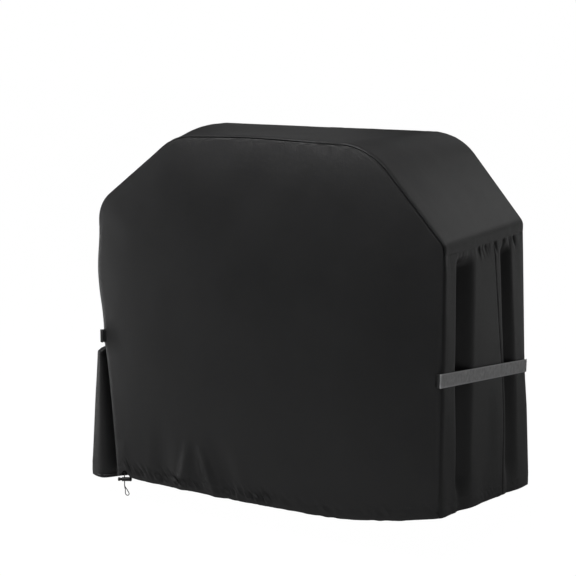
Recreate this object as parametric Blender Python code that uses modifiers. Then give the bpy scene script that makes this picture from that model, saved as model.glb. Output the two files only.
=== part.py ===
# Fitted cloth cover for a barbecue grill, as it hangs over one.
# Sewn panels with sloped shoulders, a drawcord in the hem with a sprung cord lock, and a webbing
# strap across each side. Metres, +Z up, +X to the right, front at -Y.
# The origin is on the underside of the top, where the grill's hood carries the cover.

import math
from types import SimpleNamespace

import bmesh
import bpy
from mathutils import Vector

# Overall sizes, with heights counted from the front hem
WIDTH = 1.32
DEPTH = 0.66
HEIGHT = 1.22
TOP_RISE = 0.0015
CLOTH = 0.0012
GAP = 0.0004

# Shoulders at the front and at the back: how far the slope runs in and down, and the radii at its ends
RIGHT = SimpleNamespace(name="right", sign=1, front=(0.268, 0.300, 0.03, 0.17), rear=(0.244, 0.296, 0.03, 0.10))
LEFT = SimpleNamespace(name="left", sign=-1, front=(0.337, 0.258, 0.12, 0.20), rear=(0.100, 0.120, 0.06, 0.13))
SEAM_DROP = 0.330
SHOULDER_STEPS = 3
SLOPE_STEPS = 3
CROWN_STEPS = 4
TOP_STEPS = 6

# Hem: the casing's height, how far the cord lifts each corner, and the notch where the cord comes out
HEM_ZONE = 0.042
HEM_FADE = 0.28
FRONT_LIFT = 0.065
FRONT_LIFT_RUN = 0.41
REAR_DROP = -0.008
WING_DROP = -0.031
NOTCH_INSET = 0.043
NOTCH_HALF = 0.028
NOTCH_RISE = 0.024

# How the sides hang: drawn in at the front left, flared at the back, winged out below the left strap
DRAW_IN = 0.057
STRAP_PINCH = 0.010
PINCH_RUN = 0.14
RIGHT_FLARE = 0.049
LEFT_FLARE = 0.030
SEAM_MARGIN = 0.014
WING_JUMP = 0.062
WING_JUMP_RUN = 0.045
WING_SPREAD = 0.084
WING_FULL = 0.060
WING_HOLD = 0.100
WING_END = 0.300

# Soft pleats that run down each side: (distance in from the corner, width in front of the middle, width
# behind it, depth) at three heights, and the seam's place as a share of the way between the two pleats
PLEAT_DROP = 0.390
PLEAT_HEM = 0.05
FRONT_PLEAT = {"top": (0.105, 0.085, 0.145, 0.032), "strap": (0.105, 0.085, 0.140, 0.034),
               "hem": (0.120, 0.085, 0.070, 0.014)}
REAR_PLEAT = {"top": (0.168, 0.055, 0.055, 0.022), "strap": (0.156, 0.032, 0.078, 0.024),
              "hem": (0.170, 0.036, 0.080, 0.010)}
SIDE_SEAM = {"top": 0.8235, "strap": 0.951, "hem": 0.954}

# Soft folds that stand out of the front and back panels above the hem: (x, half width, depth, height)
FRONT_FOLDS = [(-0.300, 0.050, 0.012, 0.34), (-0.175, 0.050, 0.010, 0.30)]
BACK_FOLDS = [(-0.330, 0.120, 0.012, 0.50), (0.060, 0.130, 0.010, 0.42), (0.380, 0.110, 0.012, 0.55)]

# Webbing straps, which fall towards the back and wrap the front corner onto a hook patch
STRAP_WIDTH = 0.045
STRAP_THICK = 0.0016
STRAP_FRONT = 0.5045
STRAP_REAR = 0.4235
STRAP_WRAP = 0.011
STRAP_BEND = 0.005
STRAP_ROOT = 0.012
STRAP_HINGE = 0.0012
STRAP_STAND_OFF = 0.0008
STRAP_STEPS = 12
BEND_STEPS = 4
PATCH_THICK = 0.0015
PATCH_REACH = 0.022
PATCH_INSET = 0.003
PATCH_MARGIN = 0.001
TOUCH = 0.0003

# Tapes that bind the seams inside, and the casing that holds the cord
BINDING_THICK = 0.0008
BINDING_LEG = 0.010
BINDING_MARGIN = 0.001
CASING_HEIGHT = 0.036
CASING_SEAM = 0.007
CASING_FOOT = 0.003
CASING_THICK = 0.0008
CASING_MOUTH = 0.012
CHANNEL_HALF = 0.006

# Drawcord and its lock
CORD = 0.0030
CORD_RISE = 0.016
CORD_TURN = 0.009
TURN_STEPS = 4
ROUTE_STEPS = 20
STRAND_GAP = 0.0005
LOCK_TURN = math.radians(30)
LOCK_CLEAR = 0.0015
LOCK_SETBACK = 0.0065
LOCK_SHIFT = -0.006
MOUTH_RUN = 0.004
BARREL_RADIUS = 0.0080
BARREL_OPEN = 0.009
BARREL_CLOSED = 0.026
BARREL_END_WALL = 0.003
BARREL_EDGE = 0.0015
SHAFT_RADIUS = 0.0050
SHAFT_PLAY = 0.0003
SHAFT_END = 0.009
HEAD_RADIUS = 0.0066
HEAD_THICK = 0.008
PLUNGER_TRAVEL = 0.004
NECK = 0.006
SLOT_PLAY = 0.0006
SPRING_PLAY = 0.00085
SPRING_WIRE = 0.0007
SPRING_TURNS = 6
SPRING_POINTS = 10
TURNED_STEPS = 24
TAIL_STRAIGHT = 0.030
TAIL_LENGTH = 0.060
TAIL_SWING = 0.010
TAIL_TWIST = math.radians(75)
BIGHT_HALF = 0.0062
BIGHT_RISE = 0.0085
BIGHT_SHOULDER = 0.0033

REST_HEIGHT = HEIGHT - CLOTH
EDGE_HEIGHT = HEIGHT - TOP_RISE
SHOULDER_SEAM = HEIGHT - SEAM_DROP
PLEAT_TOP = HEIGHT - PLEAT_DROP
FRONT_Y = -DEPTH / 2
BACK_Y = DEPTH / 2
NOTCH_X = DRAW_IN + NOTCH_INSET - WIDTH / 2
FRONT_LIFT_START = WIDTH / 2 - FRONT_LIFT_RUN
STRAND_SPACING = CORD + STRAND_GAP
LOCK_DROP = BARREL_RADIUS + LOCK_CLEAR
BORE_RADIUS = SHAFT_RADIUS + SHAFT_PLAY
SPRING_RADIUS = BORE_RADIUS - SPRING_PLAY - SPRING_WIRE / 2

for leftover in list(bpy.data.objects):
    bpy.data.objects.remove(leftover, do_unlink=True)

cover = bpy.data.collections.new("grill_cover")
cutters = bpy.data.collections.new("grill_cover_cutters")
bpy.context.scene.collection.children.link(cover)
bpy.context.scene.collection.children.link(cutters)


# Finishes

def finish(name, colour, roughness, metallic=0.0):
    material = bpy.data.materials.new(name)
    material.use_nodes = True
    shader = material.node_tree.nodes["Principled BSDF"]
    shader.inputs["Base Color"].default_value = (*colour, 1.0)
    shader.inputs["Roughness"].default_value = roughness
    shader.inputs["Metallic"].default_value = metallic
    material.diffuse_color = (*colour, 1.0)
    return material


CLOTH_FINISH = finish("coated_black_cloth", (0.016, 0.016, 0.017), 0.62)
TAPE_FINISH = finish("black_seam_tape", (0.012, 0.012, 0.012), 0.75)
WEBBING_FINISH = finish("grey_webbing", (0.090, 0.090, 0.092), 0.85)
HOOK_FINISH = finish("black_hook_tape", (0.008, 0.008, 0.008), 0.90)
CORD_FINISH = finish("black_cord", (0.010, 0.010, 0.010), 0.80)
LOCK_FINISH = finish("black_moulded_plastic", (0.014, 0.014, 0.014), 0.45)
SPRING_FINISH = finish("spring_steel", (0.55, 0.55, 0.56), 0.30, 1.0)


# Shared helpers

def bump(offset, half):
    """A smooth swelling of height 1, falling to 0 at half on either side."""
    if abs(offset) >= half:
        return 0.0
    return math.cos(math.pi * offset / half / 2) ** 2


def ramp(value, low, high):
    """A smooth step from 0 at low to 1 at high."""
    share = min(max((value - low) / (high - low), 0.0), 1.0)
    return share * share * (3 - 2 * share)


def mix(a, b, share):
    return a + (b - a) * share


def divided(stops, counts):
    """The stops, with each stretch between them cut into equal parts."""
    values = [stops[0]]
    for low, high, count in zip(stops, stops[1:], counts):
        values += [mix(low, high, (step + 1) / count) for step in range(count)]
    return values


def offset_path(points, distance):
    """The path moved sideways by a distance, to its left as it runs, with mitred corners."""
    path = [Vector(point) for point in points]
    moved = []
    for index, point in enumerate(path):
        near = path[max(index - 1, 0):index + 2]
        runs = [(b - a).normalized() for a, b in zip(near, near[1:])]
        sides = [Vector((-run.y, run.x)) for run in runs]
        middle = sum(sides, Vector((0, 0))).normalized()
        moved.append(point + middle * (distance / middle.dot(sides[0])))
    return moved


def smooth_route(points, spacing):
    """Points at an even spacing along a smooth curve through the route's own points."""
    route = [Vector(point) for point in points]
    ends = [2 * route[0] - route[1]] + route + [2 * route[-1] - route[-2]]
    fine = []
    for a, b, c, d in zip(ends, ends[1:], ends[2:], ends[3:]):
        for step in range(ROUTE_STEPS):
            t = step / ROUTE_STEPS
            fine.append(0.5 * (2 * b + (c - a) * t + (2 * a - 5 * b + 4 * c - d) * t * t
                               + (3 * b - a - 3 * c + d) * t ** 3))
    fine.append(route[-1])
    length = sum((q - p).length for p, q in zip(fine, fine[1:]))
    count = round(length / spacing)
    picked = [fine[0]]
    walked = 0.0
    for p, q in zip(fine, fine[1:]):
        walked += (q - p).length
        if walked >= length * len(picked) / count and len(picked) < count:
            picked.append(q)
    return picked + [fine[-1]]


def place(item, material, collection=cover):
    """Puts an object in the cover, whose heights are counted from the hem."""
    item.data.materials.append(material)
    collection.objects.link(item)
    if item.parent is None:
        item.location.z -= REST_HEIGHT
    return item


def sheet(name, columns, rows, spot, outward, thickness, material):
    """A sheet of cloth: a grid bent over spot(column, row), thickened away from its outer face."""
    mesh = bpy.data.meshes.new(name)
    grid = bmesh.new()
    bmesh.ops.create_grid(grid, x_segments=len(columns) - 1, y_segments=len(rows) - 1, size=0.5)
    for vertex in grid.verts:
        column = columns[round((vertex.co.x + 0.5) * (len(columns) - 1))]
        row = rows[round((vertex.co.y + 0.5) * (len(rows) - 1))]
        vertex.co = spot(column, row)
    grid.normal_update()
    facing = sum((face.normal * face.calc_area() for face in grid.faces), Vector())
    if facing.dot(Vector(outward)) < 0:
        bmesh.ops.reverse_faces(grid, faces=grid.faces)
    grid.to_mesh(mesh)
    grid.free()
    mesh.shade_smooth()
    item = bpy.data.objects.new(name, mesh)
    wall = item.modifiers.new("cloth", "SOLIDIFY")
    wall.thickness = thickness
    wall.offset = -1.0
    wall.use_even_offset = True
    return place(item, material)


def plate(name, centre, size, material):
    """A flat oblong piece."""
    mesh = bpy.data.meshes.new(name)
    block = bmesh.new()
    bmesh.ops.create_cube(block, size=1.0)
    bmesh.ops.scale(block, vec=size, verts=block.verts)
    block.to_mesh(mesh)
    block.free()
    item = bpy.data.objects.new(name, mesh)
    item.location = centre
    return place(item, material)


def tube(name, points, diameter, sides, material, parent=None):
    """A round cord or wire along the points, with closed ends."""
    curve = bpy.data.curves.new(name, "CURVE")
    curve.dimensions = "3D"
    curve.bevel_depth = diameter / 2
    curve.bevel_resolution = sides
    curve.use_fill_caps = True
    spline = curve.splines.new("POLY")
    spline.points.add(len(points) - 1)
    for target, point in zip(spline.points, points):
        target.co = (*point, 1.0)
    item = bpy.data.objects.new(name, curve)
    item.parent = parent
    return place(item, material)


def turned(name, profile, material, parent):
    """A turned piece: (along, radius) points from the axis round and back to it, spun about X."""
    mesh = bpy.data.meshes.new(name)
    outline = bmesh.new()
    corners = [outline.verts.new((along, 0.0, radius)) for along, radius in profile]
    for a, b in zip(corners, corners[1:]):
        outline.edges.new((a, b))
    outline.to_mesh(mesh)
    outline.free()
    item = bpy.data.objects.new(name, mesh)
    item.parent = parent
    screw = item.modifiers.new("turn", "SCREW")
    screw.axis = "X"
    screw.steps = TURNED_STEPS
    screw.render_steps = TURNED_STEPS
    screw.use_merge_vertices = True
    screw.merge_threshold = 0.00001
    screw.use_normal_calculate = True
    return place(item, material)


def cut_slot(item, low, high, half_width, parent):
    """Cuts an upright slot through a turned piece for the two strands of cord."""
    mesh = bpy.data.meshes.new(item.name + "_slot")
    block = bmesh.new()
    bmesh.ops.create_cube(block, size=1.0)
    bmesh.ops.scale(block, vec=(high - low, 2 * half_width, 4 * BARREL_RADIUS), verts=block.verts)
    bmesh.ops.translate(block, vec=((low + high) / 2, 0, 0), verts=block.verts)
    block.to_mesh(mesh)
    block.free()
    cutter = bpy.data.objects.new(item.name + "_slot", mesh)
    cutter.parent = parent
    cutter.hide_render = True
    cutter.display_type = "WIRE"
    cutters.objects.link(cutter)
    cut = item.modifiers.new("cord slot", "BOOLEAN")
    cut.operation = "DIFFERENCE"
    cut.object = cutter


# The shape that the cloth hangs in

STRAP_LOW = STRAP_FRONT - STRAP_WIDTH / 2
STRAP_HIGH = STRAP_FRONT + STRAP_WIDTH / 2
SEAM_FLAT = SHOULDER_SEAM - BINDING_LEG - 2 * BINDING_MARGIN
ROW_STOPS = [0, HEM_ZONE, STRAP_LOW - WING_JUMP_RUN, STRAP_LOW, STRAP_HIGH, PLEAT_TOP, SEAM_FLAT,
             SHOULDER_SEAM]
ROWS = divided(ROW_STOPS, [1, 4, 1, 1, 4, 1, 1])


def at_height(values, row):
    """A size given at the top, the strap and the hem, read at one height."""
    if row > STRAP_FRONT:
        share = (row - STRAP_FRONT) / (PLEAT_TOP - STRAP_FRONT)
        return mix(values["strap"], values["top"], min(share, 1.0))
    share = (row - PLEAT_HEM) / (STRAP_FRONT - PLEAT_HEM)
    return mix(values["hem"], values["strap"], max(share, 0.0))


def pleat_sizes(back, row):
    """The front or rear pleat's middle, its widths in front and behind, and its depth at one height."""
    fold = REAR_PLEAT if back else FRONT_PLEAT
    inset, fore, aft, depth = at_height({key: Vector(size) for key, size in fold.items()}, row)
    return BACK_Y - inset if back else FRONT_Y + inset, fore, aft, depth


def pleat(back, y, row):
    """How far a side pleat folds the cloth inwards."""
    centre, fore, aft, depth = pleat_sizes(back, row)
    fade = 1 - ramp(row, PLEAT_TOP, SEAM_FLAT)
    return depth * fade * bump(y - centre, fore if y < centre else aft)


def corner_reach(side, back, row):
    """How far out a corner seam hangs at one height."""
    row = max(row, HEM_ZONE)
    drop = 1 - row / SHOULDER_SEAM
    if back:
        return WIDTH / 2 + (RIGHT_FLARE if side is RIGHT else LEFT_FLARE) * drop
    if side is RIGHT:
        return WIDTH / 2
    if row >= STRAP_LOW:
        return WIDTH / 2 - STRAP_PINCH * (1 - ramp(row, STRAP_HIGH, STRAP_HIGH + PINCH_RUN))
    return WIDTH / 2 - mix(STRAP_PINCH, DRAW_IN, (1 - row / STRAP_LOW) ** 0.7)


def side_reach(side, y, row):
    """How far out a side panel hangs at one depth and height."""
    row = max(row, HEM_ZONE)
    behind = y - FRONT_Y
    share = min(max((behind - SEAM_MARGIN) / (DEPTH - 2 * SEAM_MARGIN), 0), 1)
    reach = mix(corner_reach(side, False, row), corner_reach(side, True, row), share)
    below = STRAP_LOW - row
    if side is LEFT and below > 0:
        spread = WING_JUMP * ramp(below, 0, WING_JUMP_RUN) + WING_SPREAD * below / STRAP_LOW
        out = ramp(behind, SEAM_MARGIN, WING_FULL)
        reach += spread * out * (1 - ramp(behind, WING_HOLD, WING_END))
        return reach - pleat(True, y, row)
    return reach - pleat(False, y, row) - pleat(True, y, row)


def side_seam(row):
    """Where the seam down a side lies, between its two pleats."""
    row = max(row, HEM_ZONE)
    front_centre, front_fore, front_aft, front_depth = pleat_sizes(False, row)
    rear_centre, rear_fore, rear_aft, rear_depth = pleat_sizes(True, row)
    return mix(front_centre + front_aft, rear_centre - rear_fore, at_height(SIDE_SEAM, row))


def front_lift(x):
    """Height of the front hem: level, notched for the cord, and drawn up at the right corner."""
    drawn = max(x - FRONT_LIFT_START, 0) / (WIDTH / 2 - FRONT_LIFT_START)
    return FRONT_LIFT * drawn ** 1.5 + NOTCH_RISE * bump(x - NOTCH_X, NOTCH_HALF)


def side_lift(side, y):
    """Height of a side's hem, which falls towards the back."""
    behind = min((y - FRONT_Y) / DEPTH, 1.0)
    if side is RIGHT:
        return REAR_DROP + (FRONT_LIFT - REAR_DROP) * (1 - behind) ** 1.1
    drop = mix(WING_DROP, REAR_DROP, ramp(behind, WING_END / DEPTH, 1))
    return drop * ramp(behind, 0, WING_FULL / DEPTH)


def height(row, lift, y):
    """Height of a row of cloth, which follows the hem at the bottom and the strap in the middle."""
    hem = min(max((HEM_FADE - row) / (HEM_FADE - HEM_ZONE), 0), 1)
    above = (PLEAT_TOP - row) / (PLEAT_TOP - STRAP_HIGH)
    below = (row - HEM_FADE) / (STRAP_LOW - HEM_FADE)
    belt = min(max(min(above, below), 0), 1)
    return row + lift * hem + (strap_level(y) - STRAP_FRONT) * belt


def strap_level(y):
    """Height of a strap's middle, which falls towards the back."""
    return mix(STRAP_FRONT, STRAP_REAR, (y - FRONT_Y) / DEPTH)


def panel_swell(folds, x, row):
    """How far the soft folds stand out of the front or back panel."""
    row = max(row, HEM_ZONE)
    swell = 0.0
    for spot, half, depth, tall in folds:
        swell += depth * bump(x - spot, half) * (1 - ramp(row, HEM_ZONE, tall))
    return swell


def shoulder_profile(side, back):
    """One side from its shoulder seam to the flat top, as (reach, height) points."""
    slope_run, slope_drop, shoulder_radius, crown_radius = side.rear if back else side.front
    low = Vector((WIDTH / 2, HEIGHT - slope_drop))
    high = Vector((WIDTH / 2 - slope_run, EDGE_HEIGHT))
    slope = (high - low).normalized()
    rise = math.atan2(slope.y, -slope.x)
    low_run = shoulder_radius * math.tan((math.pi / 2 - rise) / 2)
    high_run = crown_radius * math.tan(rise / 2)
    low_centre = low - Vector((shoulder_radius, low_run))
    high_centre = high - Vector((high_run, crown_radius))
    turn = math.pi / 2 - rise
    points = [Vector((WIDTH / 2, SHOULDER_SEAM))]
    for step in range(SHOULDER_STEPS + 1):
        angle = turn * step / SHOULDER_STEPS
        points.append(low_centre + shoulder_radius * Vector((math.cos(angle), math.sin(angle))))
    slope_end = high_centre + crown_radius * Vector((math.cos(turn), math.sin(turn)))
    slope_start = points[-1]
    points += [slope_start.lerp(slope_end, (step + 1) / SLOPE_STEPS) for step in range(SLOPE_STEPS)]
    for step in range(CROWN_STEPS):
        angle = turn + rise * (step + 1) / CROWN_STEPS
        points.append(high_centre + crown_radius * Vector((math.cos(angle), math.sin(angle))))
    return points


def corner_lift(side, back):
    if back:
        return REAR_DROP
    return front_lift(side.sign * corner_reach(side, False, 0))


def corner_line(side, back):
    """A corner seam from the hem to the flat top, as (reach, height) points on the cloth's outer face."""
    lift = corner_lift(side, back)
    y = BACK_Y if back else FRONT_Y
    upright = [Vector((corner_reach(side, back, row), height(row, lift, y))) for row in ROWS[:-1]]
    return upright + shoulder_profile(side, back)


def inner_line(side, back, distance):
    """The corner seam's line moved into the cover, as (reach, height) points."""
    line = corner_line(side, back)
    flat = Vector((0.0, EDGE_HEIGHT))
    return offset_path(line + [flat], distance)[:-1]


# Panels

def end_panel(name, back, stops, counts, folds, lift_at):
    """The front or back panel: rows of cloth between the right and left corner seams."""
    right = inner_line(RIGHT, back, CLOTH + GAP)
    left = inner_line(LEFT, back, CLOTH + GAP)
    low, high = -left[0].x, right[0].x
    columns = [(stop - low) / (high - low) for stop in divided([low] + stops + [high], counts)]

    def spot(column, row):
        x = mix(-left[row].x, right[row].x, column)
        z = mix(left[row].y, right[row].y, column)
        level = ROWS[row] if row < len(ROWS) else SHOULDER_SEAM
        if level < HEM_FADE:
            z = height(level, lift_at(mix(low, high, column)), BACK_Y if back else FRONT_Y)
        margin = min(x + left[row].x, right[row].x - x)
        swell = panel_swell(folds, x, level) * ramp(margin, SEAM_MARGIN, 2 * SEAM_MARGIN)
        return (x, BACK_Y + swell if back else FRONT_Y - swell, z)

    rows = list(range(len(right)))
    return sheet(name, columns, rows, spot, (0, 1 if back else -1, 0), CLOTH, CLOTH_FINISH)


fold_stops = []
for fold_x, fold_half, fold_depth, fold_height in FRONT_FOLDS:
    fold_stops += [fold_x - fold_half, fold_x + fold_half]
front_stops = [NOTCH_X - NOTCH_HALF, NOTCH_X + NOTCH_HALF] + fold_stops + [FRONT_LIFT_START]
front_counts = [1, 6, 1, 4, 1, 4, 2, 3]

back_stops = []
for fold_x, fold_half, fold_depth, fold_height in BACK_FOLDS:
    back_stops += [fold_x - fold_half, fold_x, fold_x + fold_half]
end_panel("front_panel", False, front_stops, front_counts, FRONT_FOLDS, front_lift)
end_panel("back_panel", True, back_stops, [2] + [1] * 8 + [2], BACK_FOLDS, lambda x: REAR_DROP)

TOP_START = FRONT_Y + 2 * SEAM_MARGIN
TOP_END = BACK_Y - 2 * SEAM_MARGIN
depth_columns = divided([FRONT_Y, FRONT_Y + SEAM_MARGIN, TOP_START, TOP_END, BACK_Y - SEAM_MARGIN, BACK_Y],
                        [1, 1, 4, 1, 1])


def over_top(back):
    """The line over the top from the right shoulder seam to the left one, at the front or the back."""
    right = [Vector((point.x, point.y)) for point in shoulder_profile(RIGHT, back)]
    left = [Vector((-point.x, point.y)) for point in reversed(shoulder_profile(LEFT, back))]
    right[0].y += GAP / 2
    left[-1].y += GAP / 2
    flat = [right[-1].lerp(left[0], step / TOP_STEPS) for step in range(1, TOP_STEPS)]
    return right + flat + left


front_line, rear_line = over_top(False), over_top(True)


def top_spot(y, index):
    """A point of the top, which its seams hold down a little along the front and back edges."""
    share = min(max((y - TOP_START) / (TOP_END - TOP_START), 0), 1)
    point = front_line[index].lerp(rear_line[index], share)
    rise = TOP_RISE * ramp(point.y, SHOULDER_SEAM, EDGE_HEIGHT) if abs(y) < BACK_Y else 0
    return (point.x, y, point.y + rise)


sheet("top_panel", depth_columns, list(range(len(front_line))), top_spot, (0, 0, 1), CLOTH, CLOTH_FINISH)

PANEL_TOP = SHOULDER_SEAM - GAP / 2
PLEAT_COLUMNS = 3


def side_stops(side, back, row):
    """Depths between which a side panel's columns are spread, which follow its pleat and its seams."""
    row = max(row, HEM_ZONE)
    centre, fore, aft, depth = pleat_sizes(back, row)
    fold = [centre - fore, centre, centre + aft]
    seam = side_seam(row)
    if back:
        return [seam + GAP / 2, seam + BINDING_LEG] + fold + [BACK_Y - SEAM_MARGIN, BACK_Y]
    if side is LEFT:
        fold[0] = FRONT_Y + WING_FULL
    return [FRONT_Y, FRONT_Y + SEAM_MARGIN] + fold + [seam - BINDING_LEG, seam - GAP / 2]


def side_columns(side, back):
    """A side panel's columns from front to back, each as (stretch between stops, share of the stretch)."""
    if back:
        counts = [1, 1, PLEAT_COLUMNS, PLEAT_COLUMNS, 1, 1]
    elif side is LEFT:
        counts = [1, 3, PLEAT_COLUMNS, PLEAT_COLUMNS + 1, 2, 1]
    else:
        counts = [1, 1, PLEAT_COLUMNS, PLEAT_COLUMNS + 1, 2, 1]
    columns = [(0, 0.0)]
    for stretch_index, count in enumerate(counts):
        columns += [(stretch_index, (step + 1) / count) for step in range(count)]
    return columns


def side_depth(side, back, column, row):
    """Depth of one column at one height."""
    stops = side_stops(side, back, row)
    index, share = column
    return mix(stops[index], stops[index + 1], share)


def side_panel(side, back):
    def spot(column, row):
        y = side_depth(side, back, column, row)
        z = min(height(row, side_lift(side, y), y), PANEL_TOP)
        return (side.sign * side_reach(side, y, row), y, z)

    name = f"{side.name}_side_{'rear' if back else 'front'}_panel"
    return sheet(name, side_columns(side, back), ROWS, spot, (side.sign, 0, 0), CLOTH, CLOTH_FINISH)


for side in (RIGHT, LEFT):
    for back in (False, True):
        side_panel(side, back)


# Seam bindings inside the cover

def corner_binding(name, back):
    """A tape folded into the corner between the front or back panel and its neighbours."""
    inset = CLOTH + GAP
    near, far = inset, inset + BINDING_LEG
    lines = {}
    for distance in (near, far):
        right = inner_line(RIGHT, back, distance)[1:]
        left = inner_line(LEFT, back, distance)[1:]
        lines[distance] = right + [Vector((-point.x, point.y)) for point in reversed(left)]
    face = BACK_Y - inset if back else FRONT_Y + inset
    into = -1 if back else 1

    def spot(column, row):
        reach = lines[far][row] if column == 0 else lines[near][row]
        return (reach.x, face + into * (BINDING_LEG if column == 2 else 0), reach.y)

    rows = list(range(len(lines[near])))
    return sheet(name, [0, 1, 2], rows, spot, (0, -into, 0), BINDING_THICK, TAPE_FINISH)


corner_binding("front_seam_binding", False)
corner_binding("rear_seam_binding", True)

TAPE_HALF = BINDING_LEG - BINDING_MARGIN

for side in (RIGHT, LEFT):
    face_x = WIDTH / 2 - CLOTH - GAP - BINDING_THICK / 2
    run = DEPTH - 2 * (CLOTH + 2 * GAP + BINDING_LEG)
    plate(f"{side.name}_shoulder_seam_binding", (side.sign * face_x, 0, SHOULDER_SEAM),
          (BINDING_THICK, run, 2 * TAPE_HALF), TAPE_FINISH)

    def seam_spot(column, row, side=side):
        y = side_seam(row) + column
        reach = side_reach(side, y, row) - CLOTH - GAP
        return (side.sign * reach, y, height(row, side_lift(side, y), y))

    sheet(f"{side.name}_side_seam_binding", [-TAPE_HALF, 0, TAPE_HALF], ROWS[1:-1], seam_spot,
          (side.sign, 0, 0), BINDING_THICK, TAPE_FINISH)


# The hem: its outline seen from above, walked anticlockwise from the notch.
# Each stretch has one more point beyond either end, which only sets the direction there.

def stretch(low, high, stops):
    inside = [stop for stop in stops if low + GAP < stop < high - GAP]
    return [low - SEAM_MARGIN, low] + inside + [high, high + SEAM_MARGIN]


def front_run(low, high):
    """Stretch of the front hem as (x, y, lift), from left to right."""
    right = inner_line(RIGHT, False, CLOTH + GAP)[0].x
    left = -inner_line(LEFT, False, CLOTH + GAP)[0].x
    spots = stretch(low, high, divided([left] + front_stops + [right], front_counts))
    return [(x, FRONT_Y - panel_swell(FRONT_FOLDS, x, 0), front_lift(x)) for x in spots]


def side_run(side, low, high):
    """Stretch of a side's hem as (x, y, lift), from front to back."""
    depths = []
    for back in (False, True):
        depths += [side_depth(side, back, column, 0) for column in side_columns(side, back)]
    depths = [y for y in depths if abs(y - side_seam(0)) > GAP]
    spots = stretch(low, high, depths)
    return [(side.sign * side_reach(side, y, 0), y, side_lift(side, y)) for y in spots]


def back_run(low, high):
    """Stretch of the back hem as (x, y, lift), from right to left."""
    spots = stretch(low, high, back_stops)[::-1]
    return [(x, BACK_Y + panel_swell(BACK_FOLDS, x, 0), REAR_DROP) for x in spots]


left_corner = -corner_reach(LEFT, False, 0)
right_rear = corner_reach(RIGHT, True, 0)
left_rear = -corner_reach(LEFT, True, 0)
side_start = FRONT_Y + SEAM_MARGIN
side_end = BACK_Y - SEAM_MARGIN
CASING_RUNS = {
    "front_hem_casing": front_run(NOTCH_X + CASING_MOUTH, WIDTH / 2 - SEAM_MARGIN),
    "right_hem_casing": side_run(RIGHT, side_start, side_end),
    "back_hem_casing": back_run(left_rear + SEAM_MARGIN, right_rear - SEAM_MARGIN),
    "left_hem_casing": side_run(LEFT, side_start, side_end)[::-1],
    "front_end_hem_casing": front_run(left_corner + SEAM_MARGIN, NOTCH_X - CASING_MOUTH),
}
CHANNEL = CLOTH + GAP + CORD + 2 * TOUCH
CASING_SECTION = [(CLOTH + GAP, CASING_HEIGHT), (CLOTH + GAP, CASING_HEIGHT - CASING_SEAM),
                  (CHANNEL, CORD_RISE + CHANNEL_HALF), (CHANNEL, CORD_RISE - CHANNEL_HALF),
                  (CLOTH + GAP, CASING_FOOT)]


def inside_hem(run, distance):
    """The plan of a stretch of hem moved into the cover."""
    return offset_path([(x, y) for x, y, lift in run], distance)[1:-1]


def casing(name, run):
    """A strip sewn inside the hem, standing off it in the middle to make the cord's channel."""
    lines = [inside_hem(run, distance) for distance, rise in CASING_SECTION]
    lifts = [lift for x, y, lift in run[1:-1]]

    def spot(column, row):
        point = lines[row][column]
        return (point.x, point.y, lifts[column] + CASING_SECTION[row][1])

    columns = list(range(len(lifts)))
    rows = list(range(len(CASING_SECTION)))
    middle = len(columns) // 2
    outward = Vector(run[middle + 1][:2]) - lines[0][middle]
    return sheet(name, columns, rows, spot, (*outward, 0), CASING_THICK, TAPE_FINISH)


for casing_name, casing_run in CASING_RUNS.items():
    casing(casing_name, casing_run)


# Drawcord round the hem, turning each corner in a small arc

CORD_INSET = CLOTH + GAP + TOUCH + CORD / 2


def corner_turn(corner, lift, start):
    """Quarter turn of cord inside a corner of the hem, seen from above."""
    inwards = Vector((math.copysign(1, corner[0]), math.copysign(1, corner[1])))
    centre = Vector(corner) - (CORD_INSET + CORD_TURN) * inwards
    points = []
    for step in range(TURN_STEPS + 1):
        angle = start + math.pi / 2 * step / TURN_STEPS
        spot = centre + CORD_TURN * Vector((math.cos(angle), math.sin(angle)))
        points.append((spot.x, spot.y, lift + CORD_RISE))
    return points


def cord_run(name):
    run = CASING_RUNS[name]
    path = inside_hem(run, CORD_INSET)
    return [(point.x, point.y, lift + CORD_RISE) for point, (x, y, lift) in zip(path, run[1:-1])]


cord_points = cord_run("front_hem_casing")
cord_points += corner_turn((WIDTH / 2, FRONT_Y), corner_lift(RIGHT, False), -math.pi / 2)
cord_points += cord_run("right_hem_casing")
cord_points += corner_turn((right_rear, BACK_Y), REAR_DROP, 0)
cord_points += cord_run("back_hem_casing")
cord_points += corner_turn((left_rear, BACK_Y), REAR_DROP, math.pi / 2)
cord_points += cord_run("left_hem_casing")
cord_points += corner_turn((left_corner, FRONT_Y), corner_lift(LEFT, False), math.pi)
cord_points += cord_run("front_end_hem_casing")
tube("drawcord", cord_points, CORD, 1, CORD_FINISH)


# Cord lock, hung on the two strands below the notch

hole_x = NOTCH_X + LOCK_SHIFT
hole_y = FRONT_Y + LOCK_SETBACK
lock = bpy.data.objects.new("cord_lock_axis", None)
lock.location = (hole_x, hole_y, -LOCK_DROP - REST_HEIGHT)
lock.rotation_euler.z = LOCK_TURN
cover.objects.link(lock)

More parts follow.
